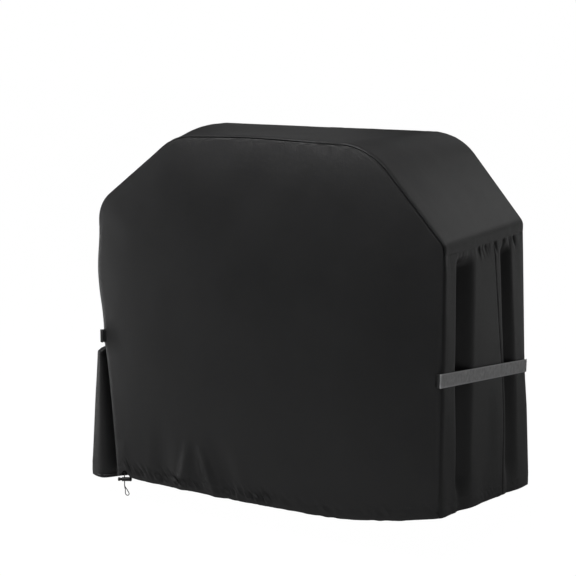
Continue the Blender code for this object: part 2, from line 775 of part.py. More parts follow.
bore_end = BARREL_CLOSED - BARREL_END_WALL
edge = BARREL_EDGE
waist = BARREL_RADIUS - edge / 2
barrel = turned("cord_lock_barrel", [
    (BARREL_CLOSED, 0), (BARREL_CLOSED, BARREL_RADIUS - 2 * edge), (BARREL_CLOSED - edge / 2, waist),
    (BARREL_CLOSED - 2 * edge, BARREL_RADIUS), (BARREL_CLOSED - 6 * edge, waist),
    (-BARREL_OPEN + edge, waist), (-BARREL_OPEN, BARREL_RADIUS - edge), (-BARREL_OPEN, BORE_RADIUS),
    (bore_end, BORE_RADIUS), (bore_end, 0)], LOCK_FINISH, lock)
neck_end = -BARREL_OPEN - NECK
head_end = neck_end - HEAD_THICK
plunger = turned("cord_lock_plunger", [
    (SHAFT_END, 0), (SHAFT_END, SHAFT_RADIUS), (neck_end, SHAFT_RADIUS),
    (neck_end, HEAD_RADIUS - edge / 2), (neck_end - edge, HEAD_RADIUS), (head_end + edge, HEAD_RADIUS),
    (head_end, HEAD_RADIUS - edge), (head_end, 0)], LOCK_FINISH, lock)
slot_half = STRAND_SPACING / 2 + CORD / 2 + SLOT_PLAY
slot_reach = CORD / 2 + SLOT_PLAY
cut_slot(barrel, -slot_reach, slot_reach, slot_half, lock)
cut_slot(plunger, -slot_reach - PLUNGER_TRAVEL, slot_reach, slot_half, lock)

spring_start = SHAFT_END + TOUCH + SPRING_WIRE / 2
spring_run = bore_end - TOUCH - SPRING_WIRE / 2 - spring_start
spring_points = []
for step in range(SPRING_TURNS * SPRING_POINTS + 1):
    angle = 2 * math.pi * step / SPRING_POINTS
    along = spring_start + spring_run * step / (SPRING_TURNS * SPRING_POINTS)
    spring_points.append((along, SPRING_RADIUS * math.cos(angle), SPRING_RADIUS * math.sin(angle)))
tube("cord_lock_spring", spring_points, SPRING_WIRE, 1, SPRING_FINISH, lock)


# Free end of the drawcord: from one mouth of the casing through the lock, round a bight and back

def strand(which, across, along, z, twist=0.0):
    """A point on one strand, set across and along the lock from the middle of its slot."""
    shift = which * (STRAND_SPACING / 2 + across)
    turn = LOCK_TURN - twist
    x = hole_x + along * math.cos(LOCK_TURN) - shift * math.sin(turn)
    y = hole_y + along * math.sin(LOCK_TURN) + shift * math.cos(turn)
    return (x, y, z)


def mouth_route(which):
    """Points from a mouth of the casing over to the straight strand above the lock, mouth first."""
    inner, end = (cord_points[1], cord_points[0]) if which < 0 else (cord_points[-2], cord_points[-1])
    out = (Vector(end) - Vector(inner)).normalized()
    start = Vector(end) + out * 2 * GAP
    rise = Vector(end) + out * MOUTH_RUN
    down = Vector(strand(which, 0, 0, rise.z))
    crest = rise.lerp(down, 0.55) + Vector((0, 0, 0.3 * MOUTH_RUN))
    fall = rise.lerp(down, 0.95) - Vector((0, 0, MOUTH_RUN))
    return [start, rise, crest, fall, down - Vector((0, 0, 3 * MOUTH_RUN))]


straight_low = -LOCK_DROP - TAIL_STRAIGHT
bight_low = -LOCK_DROP - TAIL_LENGTH
strand_heights = [-LOCK_DROP + 0.5 * TAIL_STRAIGHT, -LOCK_DROP, -LOCK_DROP - 0.5 * TAIL_STRAIGHT,
                  -LOCK_DROP - 0.8 * TAIL_STRAIGHT]
wide = BIGHT_HALF - STRAND_SPACING / 2
half_bight = [(0.04 * wide, 0.15, straight_low, 0.25), (0.3 * wide, 0.50, straight_low - BIGHT_RISE, 0.75),
              (wide, 0.85, bight_low + BIGHT_RISE, 1.0),
              (BIGHT_HALF - BIGHT_SHOULDER, 1.0, bight_low + 0.25 * BIGHT_RISE, 1.0)]


def loop_side(which):
    """One side of the free end, from its mouth to just short of the bight's lowest point."""
    straight = [strand(which, 0, 0, z) for z in strand_heights]
    curl = [strand(which, across, swing * TAIL_SWING, z, turn * TAIL_TWIST)
            for across, swing, z, turn in half_bight]
    return mouth_route(which) + straight + curl


lowest = strand(1, -STRAND_SPACING / 2, TAIL_SWING, bight_low)
loop_route = loop_side(-1) + [lowest] + loop_side(1)[::-1]
tube("drawcord_loop", smooth_route(loop_route, 2 * CORD), CORD, 2, CORD_FINISH)


# Straps with their roots in the back seams and hook-and-loop at the front corners

for side in (RIGHT, LEFT):
    front_reach = corner_reach(side, False, STRAP_FRONT)
    rear_reach = corner_reach(side, True, STRAP_LOW)
    front_face = FRONT_Y - 2 * (TOUCH + PATCH_THICK) - TOUCH - STRAP_THICK
    hinge_y = BACK_Y - STRAP_ROOT - STRAP_HINGE
    stand_off = STRAP_STAND_OFF + STRAP_THICK
    hinge = Vector((rear_reach + stand_off, hinge_y))
    bend_centre = Vector((front_reach + stand_off - STRAP_BEND, front_face + STRAP_BEND))
    bend_start = bend_centre + Vector((STRAP_BEND, 0))
    plan = [hinge.lerp(bend_start, step / STRAP_STEPS) for step in range(STRAP_STEPS)]
    for step in range(BEND_STEPS + 1):
        angle = -math.pi / 2 * step / BEND_STEPS
        plan.append(bend_centre + STRAP_BEND * Vector((math.cos(angle), math.sin(angle))))
    plan.append(Vector((front_reach - STRAP_WRAP, front_face)))

    def strap_spot(column, row, plan=plan, side=side):
        point = plan[row]
        level = strap_level(max(point.y, FRONT_Y))
        return (side.sign * point.x, point.y, level + column * STRAP_WIDTH / 2)

    sheet(f"{side.name}_strap", [-1, 0, 1], list(range(len(plan))), strap_spot, (side.sign, 0, 0),
          STRAP_THICK, WEBBING_FINISH)
    root_x = rear_reach + TOUCH + STRAP_THICK / 2
    root_y = BACK_Y - STRAP_ROOT / 2
    plate(f"{side.name}_strap_root", (side.sign * root_x, root_y, strap_level(root_y)),
          (STRAP_THICK, STRAP_ROOT, STRAP_WIDTH), WEBBING_FINISH)

    patch_height = STRAP_WIDTH - 2 * PATCH_MARGIN
    patch_x = front_reach - PATCH_INSET
    hook_y = FRONT_Y - TOUCH - PATCH_THICK / 2
    hook_width = PATCH_REACH - PATCH_INSET
    plate(f"{side.name}_hook_patch", (side.sign * (patch_x - hook_width / 2), hook_y, STRAP_FRONT),
          (hook_width, PATCH_THICK, patch_height), HOOK_FINISH)
    loop_y = hook_y - TOUCH - PATCH_THICK
    loop_width = STRAP_WRAP - PATCH_INSET
    plate(f"{side.name}_loop_patch", (side.sign * (patch_x - loop_width / 2), loop_y, STRAP_FRONT),
          (loop_width, PATCH_THICK, patch_height), HOOK_FINISH)
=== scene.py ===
import math

import bmesh
import bpy
import numpy as np
from mathutils import Matrix, Vector


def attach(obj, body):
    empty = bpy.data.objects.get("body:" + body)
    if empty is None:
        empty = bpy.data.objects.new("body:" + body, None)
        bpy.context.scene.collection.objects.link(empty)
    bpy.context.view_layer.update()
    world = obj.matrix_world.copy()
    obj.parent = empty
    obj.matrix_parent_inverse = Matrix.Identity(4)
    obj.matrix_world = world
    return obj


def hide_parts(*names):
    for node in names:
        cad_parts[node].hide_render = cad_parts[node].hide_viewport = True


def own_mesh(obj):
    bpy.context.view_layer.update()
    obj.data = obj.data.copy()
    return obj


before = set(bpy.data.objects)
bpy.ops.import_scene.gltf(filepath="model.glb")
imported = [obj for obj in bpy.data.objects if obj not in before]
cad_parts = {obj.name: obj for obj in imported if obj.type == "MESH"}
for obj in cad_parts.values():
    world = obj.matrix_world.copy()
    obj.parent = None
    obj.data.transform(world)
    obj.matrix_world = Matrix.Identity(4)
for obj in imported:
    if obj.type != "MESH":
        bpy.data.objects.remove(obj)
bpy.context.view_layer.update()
pieces = bpy.data.collections.new("coverPieces")
bpy.context.scene.collection.children.link(pieces)
print("frame loaded,", len(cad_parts), "CAD nodes")

# the cover as a whole, heights counted from the front hem, the same sizes as the CAD
cover = {
    "width": 1.32,
    "depth": 0.66,
    "height": 1.22,
    "restHeight": 1.2188,     # height of the frame's origin
    "edgeHeight": 1.2185,     # top seams along the front and back
    "shoulderSeam": 0.89,
    "clothThick": 0.0009,
    "frontSeam": {"aside": 0.0045, "deep": 0.0105},   # how far a corner seam lies in from both its faces
    "rearSeam": {"aside": 0.0050, "deep": 0.0040},
    "seamRun": 0.016,         # width of the tight turn beside a seam
    "rollRun": 0.060,         # and of the broad one on the sides and the top
    "flatSeamDeep": 0.0018,   # depth and width of the turn beside seams that lie flat
    "flatSeamRun": 0.010,
    "shoulderSeamDeep": 0.00054,
    "seamHalfGap": 0.0016,
    "cornerHalfGap": 0.0003,
    "gapCloses": (0.040, 0.070),      # heights between which the corner gaps open above the hem
    "shoulderTurn": (0.84, 0.92),     # and between which the cloth turns over at the shoulders
    "allowance": 0.005,
    "touch": 0.0003,          # between cloth and what is sewn flat on it
}
halfWidth = cover["width"] / 2
frontY = -cover["depth"] / 2
backY = cover["depth"] / 2
shoulderSeam = cover["shoulderSeam"]
edgeHeight = cover["edgeHeight"]

# both shoulders at the front and the back: run and drop of the slope, radii below and above it
shoulders = {
    "right": {"sign": 1, "front": (0.268, 0.300, 0.04, 0.24), "rear": (0.244, 0.296, 0.04, 0.20)},
    "left": {"sign": -1, "front": (0.325, 0.246, 0.12, 0.20), "rear": (0.085, 0.112, 0.06, 0.12)},
}

# how the cloth hangs below the shoulders
hang = {
    "hemZone": 0.042,
    "hemFade": 0.28,
    "frontLift": 0.060,
    "frontLiftRun": 0.41,
    "frontLiftPower": 1.5,
    "sideLiftPower": 1.1,
    "sag": (0.004, -0.10, 0.45),      # depth, middle and half width of the front hem's sag
    "rearDrop": 0.0,
    "wingDrop": -0.031,
    "notchX": -0.560,
    "notchHalf": 0.028,
    "notchRise": 0.024,
    "drawIn": 0.057,
    "drawPower": 0.7,
    "strapPinch": 0.010,
    "pinchRun": 0.14,
    "swell": (0.010, 0.74, 0.15),     # the same three for the left corner above the strap
    "rightFlare": 0.049,
    "leftFlare": 0.030,
    "margin": 0.014,
    "wingJump": 0.062,
    "wingJumpRun": 0.012,
    "wingBackRun": 0.035,
    "wingGap": 0.003,
    "wingSpread": 0.084,
    "wingFull": 0.060,
    "wingEnd": 0.300,
    "pleatTop": 0.83,
    "pleatHem": 0.05,
    "seamStep": 0.012,        # flat cloth on both sides of a shoulder seam
}
# side pleats: distance in from the corner, widths before and behind, depth, at the top, the strap and the hem
pleats = {
    "front": [(0.135, 0.062, 0.115, 0.034), (0.135, 0.062, 0.110, 0.036), (0.145, 0.064, 0.075, 0.020)],
    "rear": [(0.168, 0.055, 0.055, 0.022), (0.156, 0.032, 0.078, 0.024), (0.170, 0.034, 0.080, 0.014)],
    "seamShare": [0.8235, 0.951, 0.954],
    "tied": (0.30, 0.03, 0.14),       # share left at the hem, and the heights it grows over
    "core": (0.42, 0.10),             # half width and depth of the sharper middle, as shares
    "leftFade": 0.03,
}
# the left wing's fold seen from above: cloth behind the corner, depth it lies at, share of the spread
wingFold = [(0, 0, 0), (0.006, 0.006, 0), (0.012, 0.012, 0), (0.024, 0.042, 0.01), (0.038, 0.076, 0.03),
            (0.052, 0.100, 0.09), (0.064, 0.092, 0.20), (0.074, 0.066, 0.33), (0.082, 0.046, 0.43),
            (0.090, 0.036, 0.51), (0.098, 0.034, 0.59), (0.107, 0.037, 0.68), (0.117, 0.042, 0.765),
            (0.127, 0.048, 0.85), (0.137, 0.056, 0.925), (0.149, 0.071, 0.98), (0.162, 0.090, 1.0),
            (0.215, 0.175, 0.72), (0.300, 0.300, 0)]
# webbing straps
webbing = {
    "wide": 0.045,
    "thick": 0.0016,
    "front": 0.5045,
    "rear": 0.4235,
    "wrap": 0.011,
    "bend": 0.005,
    "root": 0.012,
    "hinge": 0.0012,
    "standOff": 0.0008,
    "rootIn": (0.0030, 0.009),        # how far the sewn end follows the corner in, and over what length
}
strapHalf = webbing["wide"] / 2
strapLow = webbing["front"] - strapHalf
strapHigh = webbing["front"] + strapHalf


# small shape helpers, all of them for whole arrays

def mix(a, b, share):
    return a + (b - a) * share


def bump(offset, half):
    return np.where(np.abs(offset) < half, np.cos(np.pi * np.clip(offset / half, -1, 1) / 2) ** 2, 0.0)


def ramp(value, low, high):
    share = np.clip((value - low) / (high - low), 0, 1)
    return share * share * (3 - 2 * share)


def softNoise(x, y, cell, seed):
    # smooth random hills about one cell across, from -1 to 1
    u, v = np.broadcast_arrays(np.asarray(x) / cell + 200.0, np.asarray(y) / cell + 200.0)
    i, j = np.floor(u).astype(int), np.floor(v).astype(int)
    a, b = u - i, v - j
    a = a ** 3 * (6 * a * a - 15 * a + 10)
    b = b ** 3 * (6 * b * b - 15 * b + 10)
    table = np.random.default_rng(seed).uniform(-1, 1, (256, 256))
    low = mix(table[i % 256, j % 256], table[(i + 1) % 256, j % 256], a)
    high = mix(table[i % 256, (j + 1) % 256], table[(i + 1) % 256, (j + 1) % 256], a)
    return mix(low, high, b)


def seamRoll(distance, deep, run):
    # cloth turning in towards a seam
    return deep * np.clip(1 - distance / run, 0, 1) ** 2


def seamGap(row):
    # half the gap between two panels at a corner seam: closed at the hem, widest over the shoulders
    gap = mix(cover["cornerHalfGap"], cover["seamHalfGap"], ramp(row, *cover["shoulderTurn"]))
    return gap - 2 * cover["cornerHalfGap"] * (1 - ramp(row, *cover["gapCloses"]))


def cornerRoll(distance, deep, broad):
    # the same with a broad turn and a tight one that together reach the depth
    return seamRoll(distance, broad, cover["rollRun"]) + seamRoll(distance, deep - broad, cover["seamRun"])


def unit(vectors):
    return vectors / np.linalg.norm(vectors, axis=1)[:, None]


def walkAlong(points):
    # how far along a line each of its points is
    return np.concatenate([[0], np.cumsum(np.linalg.norm(np.diff(points, axis=0), axis=1))])


def smoothRoute(points, steps):
    # a smooth curve through the points
    points = [np.asarray(point, float) for point in points]
    ends = [2 * points[0] - points[1]] + points + [2 * points[-1] - points[-2]]
    fine = []
    for a, b, c, d in zip(ends, ends[1:], ends[2:], ends[3:]):
        for t in np.arange(steps) / steps:
            fine.append(0.5 * (2 * b + (c - a) * t + (2 * a - 5 * b + 4 * c - d) * t * t
                               + (3 * b - a - 3 * c + d) * t ** 3))
    return np.array(fine + [points[-1]])


# the hanging shape, on the CAD's own outline

def atHeight(sizes, row):
    top, strap, hem = sizes
    above = mix(strap, top, np.clip((row - webbing["front"]) / (hang["pleatTop"] - webbing["front"]), 0, 1))
    below = mix(hem, strap, np.clip((row - hang["pleatHem"]) / (webbing["front"] - hang["pleatHem"]), 0, 1))
    return np.where(row > webbing["front"], above, below)


def pleatSizes(which, row):
    inset, fore, aft, depth = (atHeight(sizes, row) for sizes in zip(*pleats[which]))
    return (backY - inset if which == "rear" else frontY + inset), fore, aft, depth


def pleat(which, y, row):
    centre, fore, aft, depth = pleatSizes(which, row)
    atHem, tiedLow, tiedHigh = pleats["tied"]
    fade = 1 - ramp(row, hang["pleatTop"], shoulderSeam - hang["seamStep"])
    fade = fade * mix(atHem, 1, ramp(row, tiedLow, tiedHigh))
    half = np.where(y < centre, fore, aft)
    coreWide, coreDeep = pleats["core"]
    core = bump(y - centre, half * coreWide) * coreDeep      # the fold is sharper along its middle
    hollow = bump(y - centre, half)
    if which == "front":
        hollow = np.where(y < centre, hollow ** 3, hollow)      # and steep towards the corner
    return depth * fade * (hollow + core)


def cornerReach(side, back, row):
    row = np.maximum(row, hang["hemZone"])
    drop = np.clip(1 - row / shoulderSeam, 0, 1)
    if back:
        return halfWidth + (hang["rightFlare"] if side == "right" else hang["leftFlare"]) * drop
    if side == "right":
        return halfWidth + 0 * row
    pinched = halfWidth - hang["strapPinch"] * (1 - ramp(row, strapHigh, strapHigh + hang["pinchRun"]))
    size, middle, half = hang["swell"]
    pinched = pinched + size * bump(row - middle, half)
    share = np.clip(1 - row / strapLow, 0, 1) ** hang["drawPower"]
    return np.where(row >= strapLow, pinched, halfWidth - mix(hang["strapPinch"], hang["drawIn"], share))


def reachAt(side, back, row):
    return float(cornerReach(side, back, np.array(row)))


def shoulderLine(side, back):
    # one side from its shoulder seam to the flat top, as arrays of reach and height
    run, drop, lowRadius, crownRadius = shoulders[side]["rear" if back else "front"]
    low = np.array([halfWidth, cover["height"] - drop])
    high = np.array([halfWidth - run, edgeHeight])
    rise = math.atan2(high[1] - low[1], low[0] - high[0])
    turn = math.pi / 2 - rise
    lowCentre = low - np.array([lowRadius, lowRadius * math.tan(turn / 2)])
    highCentre = high - np.array([crownRadius * math.tan(rise / 2), crownRadius])
    lowAngles = np.linspace(0, turn, 16)
    highAngles = np.linspace(turn, math.pi / 2, 40)
    lowArc = lowCentre + lowRadius * np.stack([np.cos(lowAngles), np.sin(lowAngles)], 1)
    highArc = highCentre + crownRadius * np.stack([np.cos(highAngles), np.sin(highAngles)], 1)
    foot = np.array([halfWidth, shoulderSeam])
    step = foot + [0, hang["seamStep"]]
    upright = np.concatenate([np.linspace(foot, step, 6)[:-1], np.linspace(step, lowArc[0], 8)[:-1]])
    slope = np.linspace(lowArc[-1], highArc[0], 26)[1:-1]
    return np.concatenate([upright, lowArc, slope, highArc])


shoulderLines = {(side, back): shoulderLine(side, back) for side in shoulders for back in (False, True)}
wingCurve = smoothRoute(wingFold, 12)


def wingPlace(behind, row):
    # how far the left wing's fold moves its cloth back and out
    below = np.maximum(strapLow - hang["wingGap"] - np.maximum(row, hang["hemZone"]), 0)
    spread = hang["wingJump"] * ramp(below, 0, hang["wingJumpRun"]) + hang["wingSpread"] * below / strapLow
    back = np.interp(behind, wingCurve[:, 0], wingCurve[:, 1]) - np.minimum(behind, wingCurve[-1, 0])
    out = np.interp(behind, wingCurve[:, 0], wingCurve[:, 2])
    return back * ramp(below, 0, hang["wingBackRun"]), spread * out


def sideReach(side, y, row):
    row = np.maximum(row, hang["hemZone"])
    behind = y - frontY
    share = np.clip((behind - hang["margin"]) / (cover["depth"] - 2 * hang["margin"]), 0, 1)
    reach = mix(cornerReach(side, False, row), cornerReach(side, True, row), share)
    if side == "right":
        return reach - pleat("front", y, row) - pleat("rear", y, row)
    frontPleat = pleat("front", y, row) * ramp(row, strapLow - pleats["leftFade"], strapLow)
    return reach + wingPlace(behind, row)[1] - frontPleat - pleat("rear", y, row)


def sideSeam(row):
    row = np.maximum(row, hang["hemZone"])
    frontCentre, _, frontAft, _ = pleatSizes("front", row)
    rearCentre, rearFore, _, _ = pleatSizes("rear", row)
    return mix(frontCentre + frontAft, rearCentre - rearFore, atHeight(pleats["seamShare"], row))


def frontLift(x):
    start = halfWidth - hang["frontLiftRun"]
    drawn = np.maximum(x - start, 0) / hang["frontLiftRun"]
    depth, middle, half = hang["sag"]
    sag = depth * bump(x - middle, half)
    notch = hang["notchRise"] * bump(x - hang["notchX"], hang["notchHalf"])
    return hang["frontLift"] * drawn ** hang["frontLiftPower"] - sag + notch


def sideLift(side, y):
    behind = np.clip((y - frontY) / cover["depth"], 0, 1)
    if side == "right":
        lift = hang["frontLift"] - hang["rearDrop"]
        return hang["rearDrop"] + lift * (1 - behind) ** hang["sideLiftPower"]
    drop = mix(hang["wingDrop"], hang["rearDrop"], ramp(behind, hang["wingEnd"] / cover["depth"], 1))
    return drop * ramp(behind, 0, hang["wingFull"] / cover["depth"])


def strapLevel(y):
    return mix(webbing["front"], webbing["rear"], (y - frontY) / cover["depth"])


def levelOf(row, lift, y):
    # height of a row of cloth, which follows the hem below and the strap in the middle
    hem = np.clip((hang["hemFade"] - row) / (hang["hemFade"] - hang["hemZone"]), 0, 1)
    above = (hang["pleatTop"] - row) / (hang["pleatTop"] - strapHigh)
    below = (row - hang["hemFade"]) / (strapLow - hang["hemFade"])
    belt = np.clip(np.minimum(above, below), 0, 1)
    return row + lift * hem + (strapLevel(y) - webbing["front"]) * belt


# outline of the front or back panel at its seams: right hem, up, over the top, down to the left hem
def seamOutline(back):
    rows = np.linspace(0, shoulderSeam, 90)[:-1]
    right = np.stack([cornerReach("right", back, rows), rows], 1)
    left = np.stack([-cornerReach("left", back, rows), rows], 1)
    rightTop, leftTop = shoulderLines["right", back], shoulderLines["left", back] * [-1, 1]
    flat = np.linspace(rightTop[-1], leftTop[-1], 70)[1:-1]
    points = np.concatenate([right, rightTop, flat, leftTop[::-1], left[::-1]])
    along = unit(np.gradient(points, axis=0))
    inward = np.stack([-along[:, 1], along[:, 0]], 1)
    return points, inward


outlines = {back: seamOutline(back) for back in (False, True)}


def cornerSeam(back):
    return cover["rearSeam" if back else "frontSeam"]


def insetOutline(back, distance):
    points, inward = outlines[back]
    return points + inward * distance


def seamLine(back):
    # the corner seam itself, on the front or back panel's side of the gap
    return insetOutline(back, (cornerSeam(back)["aside"] + seamGap(outlines[back][0][:, 1]))[:, None])


def seamDistance(back, x, row):
    # distance in from the drawn-in seam, and how far along the seam that is
    line = seamLine(back)
    starts, runs = line[:-1], np.diff(line, axis=0)
    lengths = np.linalg.norm(runs, axis=1)
    walked = np.concatenate([[0], np.cumsum(lengths)])[:-1]
    spots = np.stack([x, row], 1)
    far, along = np.zeros(len(spots)), np.zeros(len(spots))
    batch = 4000
    for start in range(0, len(spots), batch):
        gap = spots[start:start + batch, None, :] - starts[None]
        share = np.clip((gap * runs).sum(2) / (lengths ** 2), 0, 1)
        off = np.linalg.norm(gap - runs[None] * share[..., None], axis=2)
        best = off.argmin(1)
        pick = np.arange(len(best))
        far[start:start + batch] = off[pick, best]
        along[start:start + batch] = walked[best] + share[pick, best] * lengths[best]
    return far, along


# the cloth's own unevenness: amounts for each panel, then what all of them share
frontCloth = {
    # x at the hem, lean, half width, depth, height
    "folds": [(-0.314, 0.20, 0.034, 0.010, 0.22), (-0.173, -0.37, 0.034, 0.010, 0.21),
              (-0.243, -0.08, 0.035, -0.005, 0.20), (-0.100, -0.30, 0.065, -0.008, 0.27),
              (-0.395, 0.05, 0.065, -0.008, 0.26)],
    "soft": 0.0006,
    "fine": 0.0004,
    "hemPucker": 0.0095,
    "seamPucker": 0.0011,
    "roll": 0.0070,
    "topRoll": 0.0086,
    "rollRun": 0.15,
    "bulge": 0.0140,
    "crown": 0.008,
    "crownPlace": (-0.05, 0.36),
    "seed": 10,
}
backCloth = {
    "folds": [(-0.330, 0.02, 0.120, 0.012, 0.50), (0.060, -0.03, 0.130, 0.010, 0.42),
              (0.380, 0.02, 0.110, 0.012, 0.55)],
    "soft": 0.0035,
    "fine": 0.0010,
    "hemPucker": 0.0026,
    "seamPucker": 0.0011,
    "roll": 0.0015,
    "topRoll": 0.0015,
    "rollRun": 0.05,
    "bulge": 0.002,
    "seed": 40,
}
sideCloth = {
    "soft": 0.0030,
    "gather": 0.0065,
    "fan": (0.010, 0.058),        # below the shoulder seam, where the gathers are deepest and where they end
    "gatherFrom": (-0.10, 0.0),
    "gatherTo": (0.22, 0.30),
    "hemPucker": 0.0010,
    "seamPucker": 0.0010,
    "roll": 0.0034,
    "shoulder": 0.0040,
    "seeds": {"right": 80, "left": 120},
}
topCloth = {
    "soft": 0.0014,
    "seamPucker": 0.0010,
    "roll": 0.0030,
    "shoulder": 0.0020,
    "leftCrown": 0.013,
    "crownAlong": (0.40, 0.24),
    "crownAcross": (0.55, 0.55),
    "gather": 0.0010,
    "full": 0.0015,
    "seed": 160,
}
hemCloth = {
    "fade": (0.012, 0.075),       # heights over which the puckers die out
    "tied": (0.10, 0.004, 0.026),     # share left at the edge, and the heights it grows over
    "lean": 0.8,
    "groove": (0.037, 0.008, 0.0007),     # height, half width and depth of the stitched line
    "swell": (0.017, 0.017, 0.0012),      # and of the cord behind the cloth
    "foldsTied": (0.35, 0.060),
    "evenShare": 0.6,     # puckers on the sides and the back
    "least": 0.25,        # and on the front away from the part that is drawn up most
    "drawnFrom": (-0.60, -0.45),
    "drawnTo": (-0.02, 0.30),
    "wave": 0.0012,
    "sideWave": 0.0006,
}
# how far apart the hills of each unevenness are
cells = {
    "soft": 0.19, "fine": 0.065, "seam": 0.013, "wave": 0.024,
    "sideSoft": 0.11, "sideGather": 0.014, "sideSeam": 0.014, "sideWave": 0.03,
    "topSoft": 0.17, "topFine": 0.055, "topSeam": 0.015, "topGather": 0.016,
    "hemSmall": 0.008, "hemLarge": 0.017, "hemAmount": 0.09, "hemGroove": 0.05,
}
# where patches, the strap and the cord's mouth hold the cloth flat: half sizes, and the runs it lets go over
hold = {"strapHalf": 0.08, "strapRun": (0.03, 0.12), "mouthHalf": 0.07, "mouthRun": (0.05, 0.14),
        "sideRun": (0.030, 0.060)}
softEdge = 0.02       # run over which unevenness grows from nothing beside a seam


def hemShape(along, row, size, amount, seed):
    # puckers above the drawn-up hem, the casing's stitched groove and the cord's swelling
    atEdge, tiedLow, tiedHigh = hemCloth["tied"]
    fade = (1 - ramp(row, *hemCloth["fade"])) * mix(atEdge, 1, ramp(row, tiedLow, tiedHigh))
    lean = along + hemCloth["lean"] * row
    puckers = 1.2 * softNoise(lean, 0.3 * row, cells["hemSmall"], seed)
    puckers = puckers + softNoise(lean, 0.35 * row, cells["hemLarge"], seed + 1)
    puckers = puckers * (0.55 + 0.45 * softNoise(along, 0, cells["hemAmount"], seed + 8))
    height, half, deep = hemCloth["groove"]
    groove = bump(row - height, half) * deep * (0.6 + 0.5 * softNoise(along, 0, cells["hemGroove"], seed + 9))
    height, half, deep = hemCloth["swell"]
    return size * amount * fade * puckers - groove + bump(row - height, half) * deep


def seamPull(distance, run, full=0.006):
    # how strongly a seam puckers the cloth beside it
    return ramp(distance, 0.001, full) * np.exp(-distance / run)


def gathering(place, start, end):
    # share of the full gathers: all of them from start to end, few elsewhere
    least = hemCloth["least"]
    return least + (1 - least) * ramp(place, *start) * (1 - ramp(place, *end))


def panelRelief(cloth, back, x, row, far, along):
    out = np.zeros(len(x))
    tiedShare, tiedRun = hemCloth["foldsTied"]
    tied = mix(tiedShare, 1, ramp(row, 0.0, tiedRun))     # the drawn hem flattens the folds
    for spot, lean, half, depth, tall in cloth["folds"]:
        out += depth * bump(x - spot - lean * row, half) * (1 - ramp(row, hang["hemZone"], tall)) * tied
    inside = ramp(far, 0.0, 0.06)
    seed = cloth["seed"]
    out += cloth["soft"] * softNoise(x, 0.55 * row, cells["soft"], seed) * inside
    out += cloth["fine"] * softNoise(x, 0.6 * row, cells["fine"], seed + 1) * inside
    # the front hem is drawn up most left of its middle
    drawn = hemCloth["evenShare"] if back else gathering(x, hemCloth["drawnFrom"], hemCloth["drawnTo"])
    out += hemShape(x, row, cloth["hemPucker"], drawn, seed + 2) * ramp(far, 0.0, softEdge)
    return out + cloth["seamPucker"] * seamPull(far, 0.014) * softNoise(along, 0, cells["seam"], seed + 4)


def frontCrown(x):
    # how much higher the front's top edge stands
    middle, half = frontCloth["crownPlace"]
    return frontCloth["crown"] * bump(x - middle, half)


def faceLevel(back, x, row, wave=0.0):
    # height of a spot on the front or back panel
    lift = (hang["rearDrop"] + 0 * x if back else frontLift(x)) + wave
    z = np.where(row < shoulderSeam, levelOf(row, lift, backY if back else frontY), row)
    if not back:
        z = z + frontCrown(x) * ramp(row, shoulderSeam, edgeHeight)
    return z - cover["restHeight"]


def endPanelSpot(back, x, row):
    # a point of the front or back panel
    far, along = seamDistance(back, x, row)
    cloth = backCloth if back else frontCloth
    out = panelRelief(cloth, back, x, row, far, along)
    # the cloth bulges between its seams, less so near the hem
    rise = cloth["bulge"] * mix(0.5, 1, ramp(row, 0.0, 0.35))
    roll = mix(cloth["roll"], cloth["topRoll"], ramp(row, *cover["shoulderTurn"]))
    pillow = rise - (rise + roll) * np.exp(-far / cloth["rollRun"])
    held = bump(row - webbing["front"], hold["strapHalf"]) * (1 - ramp(far, *hold["strapRun"]))
    atMouth = bump(x - hang["notchX"], hold["mouthHalf"]) * (1 - ramp(row, *hold["mouthRun"]))
    held = np.maximum(held, atMouth)
    tight = cornerSeam(back)["deep"] - seamGap(row) - roll * (1 - held)
    out += pillow * (1 - held) - seamRoll(far, tight, cover["seamRun"])
    z = faceLevel(back, x, row, hemCloth["wave"] * softNoise(x, 0, cells["wave"], 71))
    return np.stack([x, backY + out if back else frontY - out, z], 1)


def endPanelLimits(back, row):
    # the seam's x on the left and right at one height
    line = seamLine(back)
    inside = np.abs(line[:, 1] - line[:, 1].max()) < 1e-9
    first, last = np.flatnonzero(inside)[[0, -1]]
    right, left = line[:first + 1], line[last:][::-1]
    return np.interp(row, left[:, 1], left[:, 0]), np.interp(row, right[:, 1], right[:, 0])


def fromCorners(y, gap):
    # distances in from the front and rear corner seams
    return y - frontY - cover["frontSeam"]["deep"] - gap, backY - cover["rearSeam"]["deep"] - gap - y


def cornerTurns(fromFront, fromBack, gap, roll):
    # how far the cloth turns in at both corner seams
    front = cornerRoll(fromFront, cover["frontSeam"]["aside"] - gap, 0.0)
    return front + cornerRoll(fromBack, cover["rearSeam"]["aside"] - gap, roll)


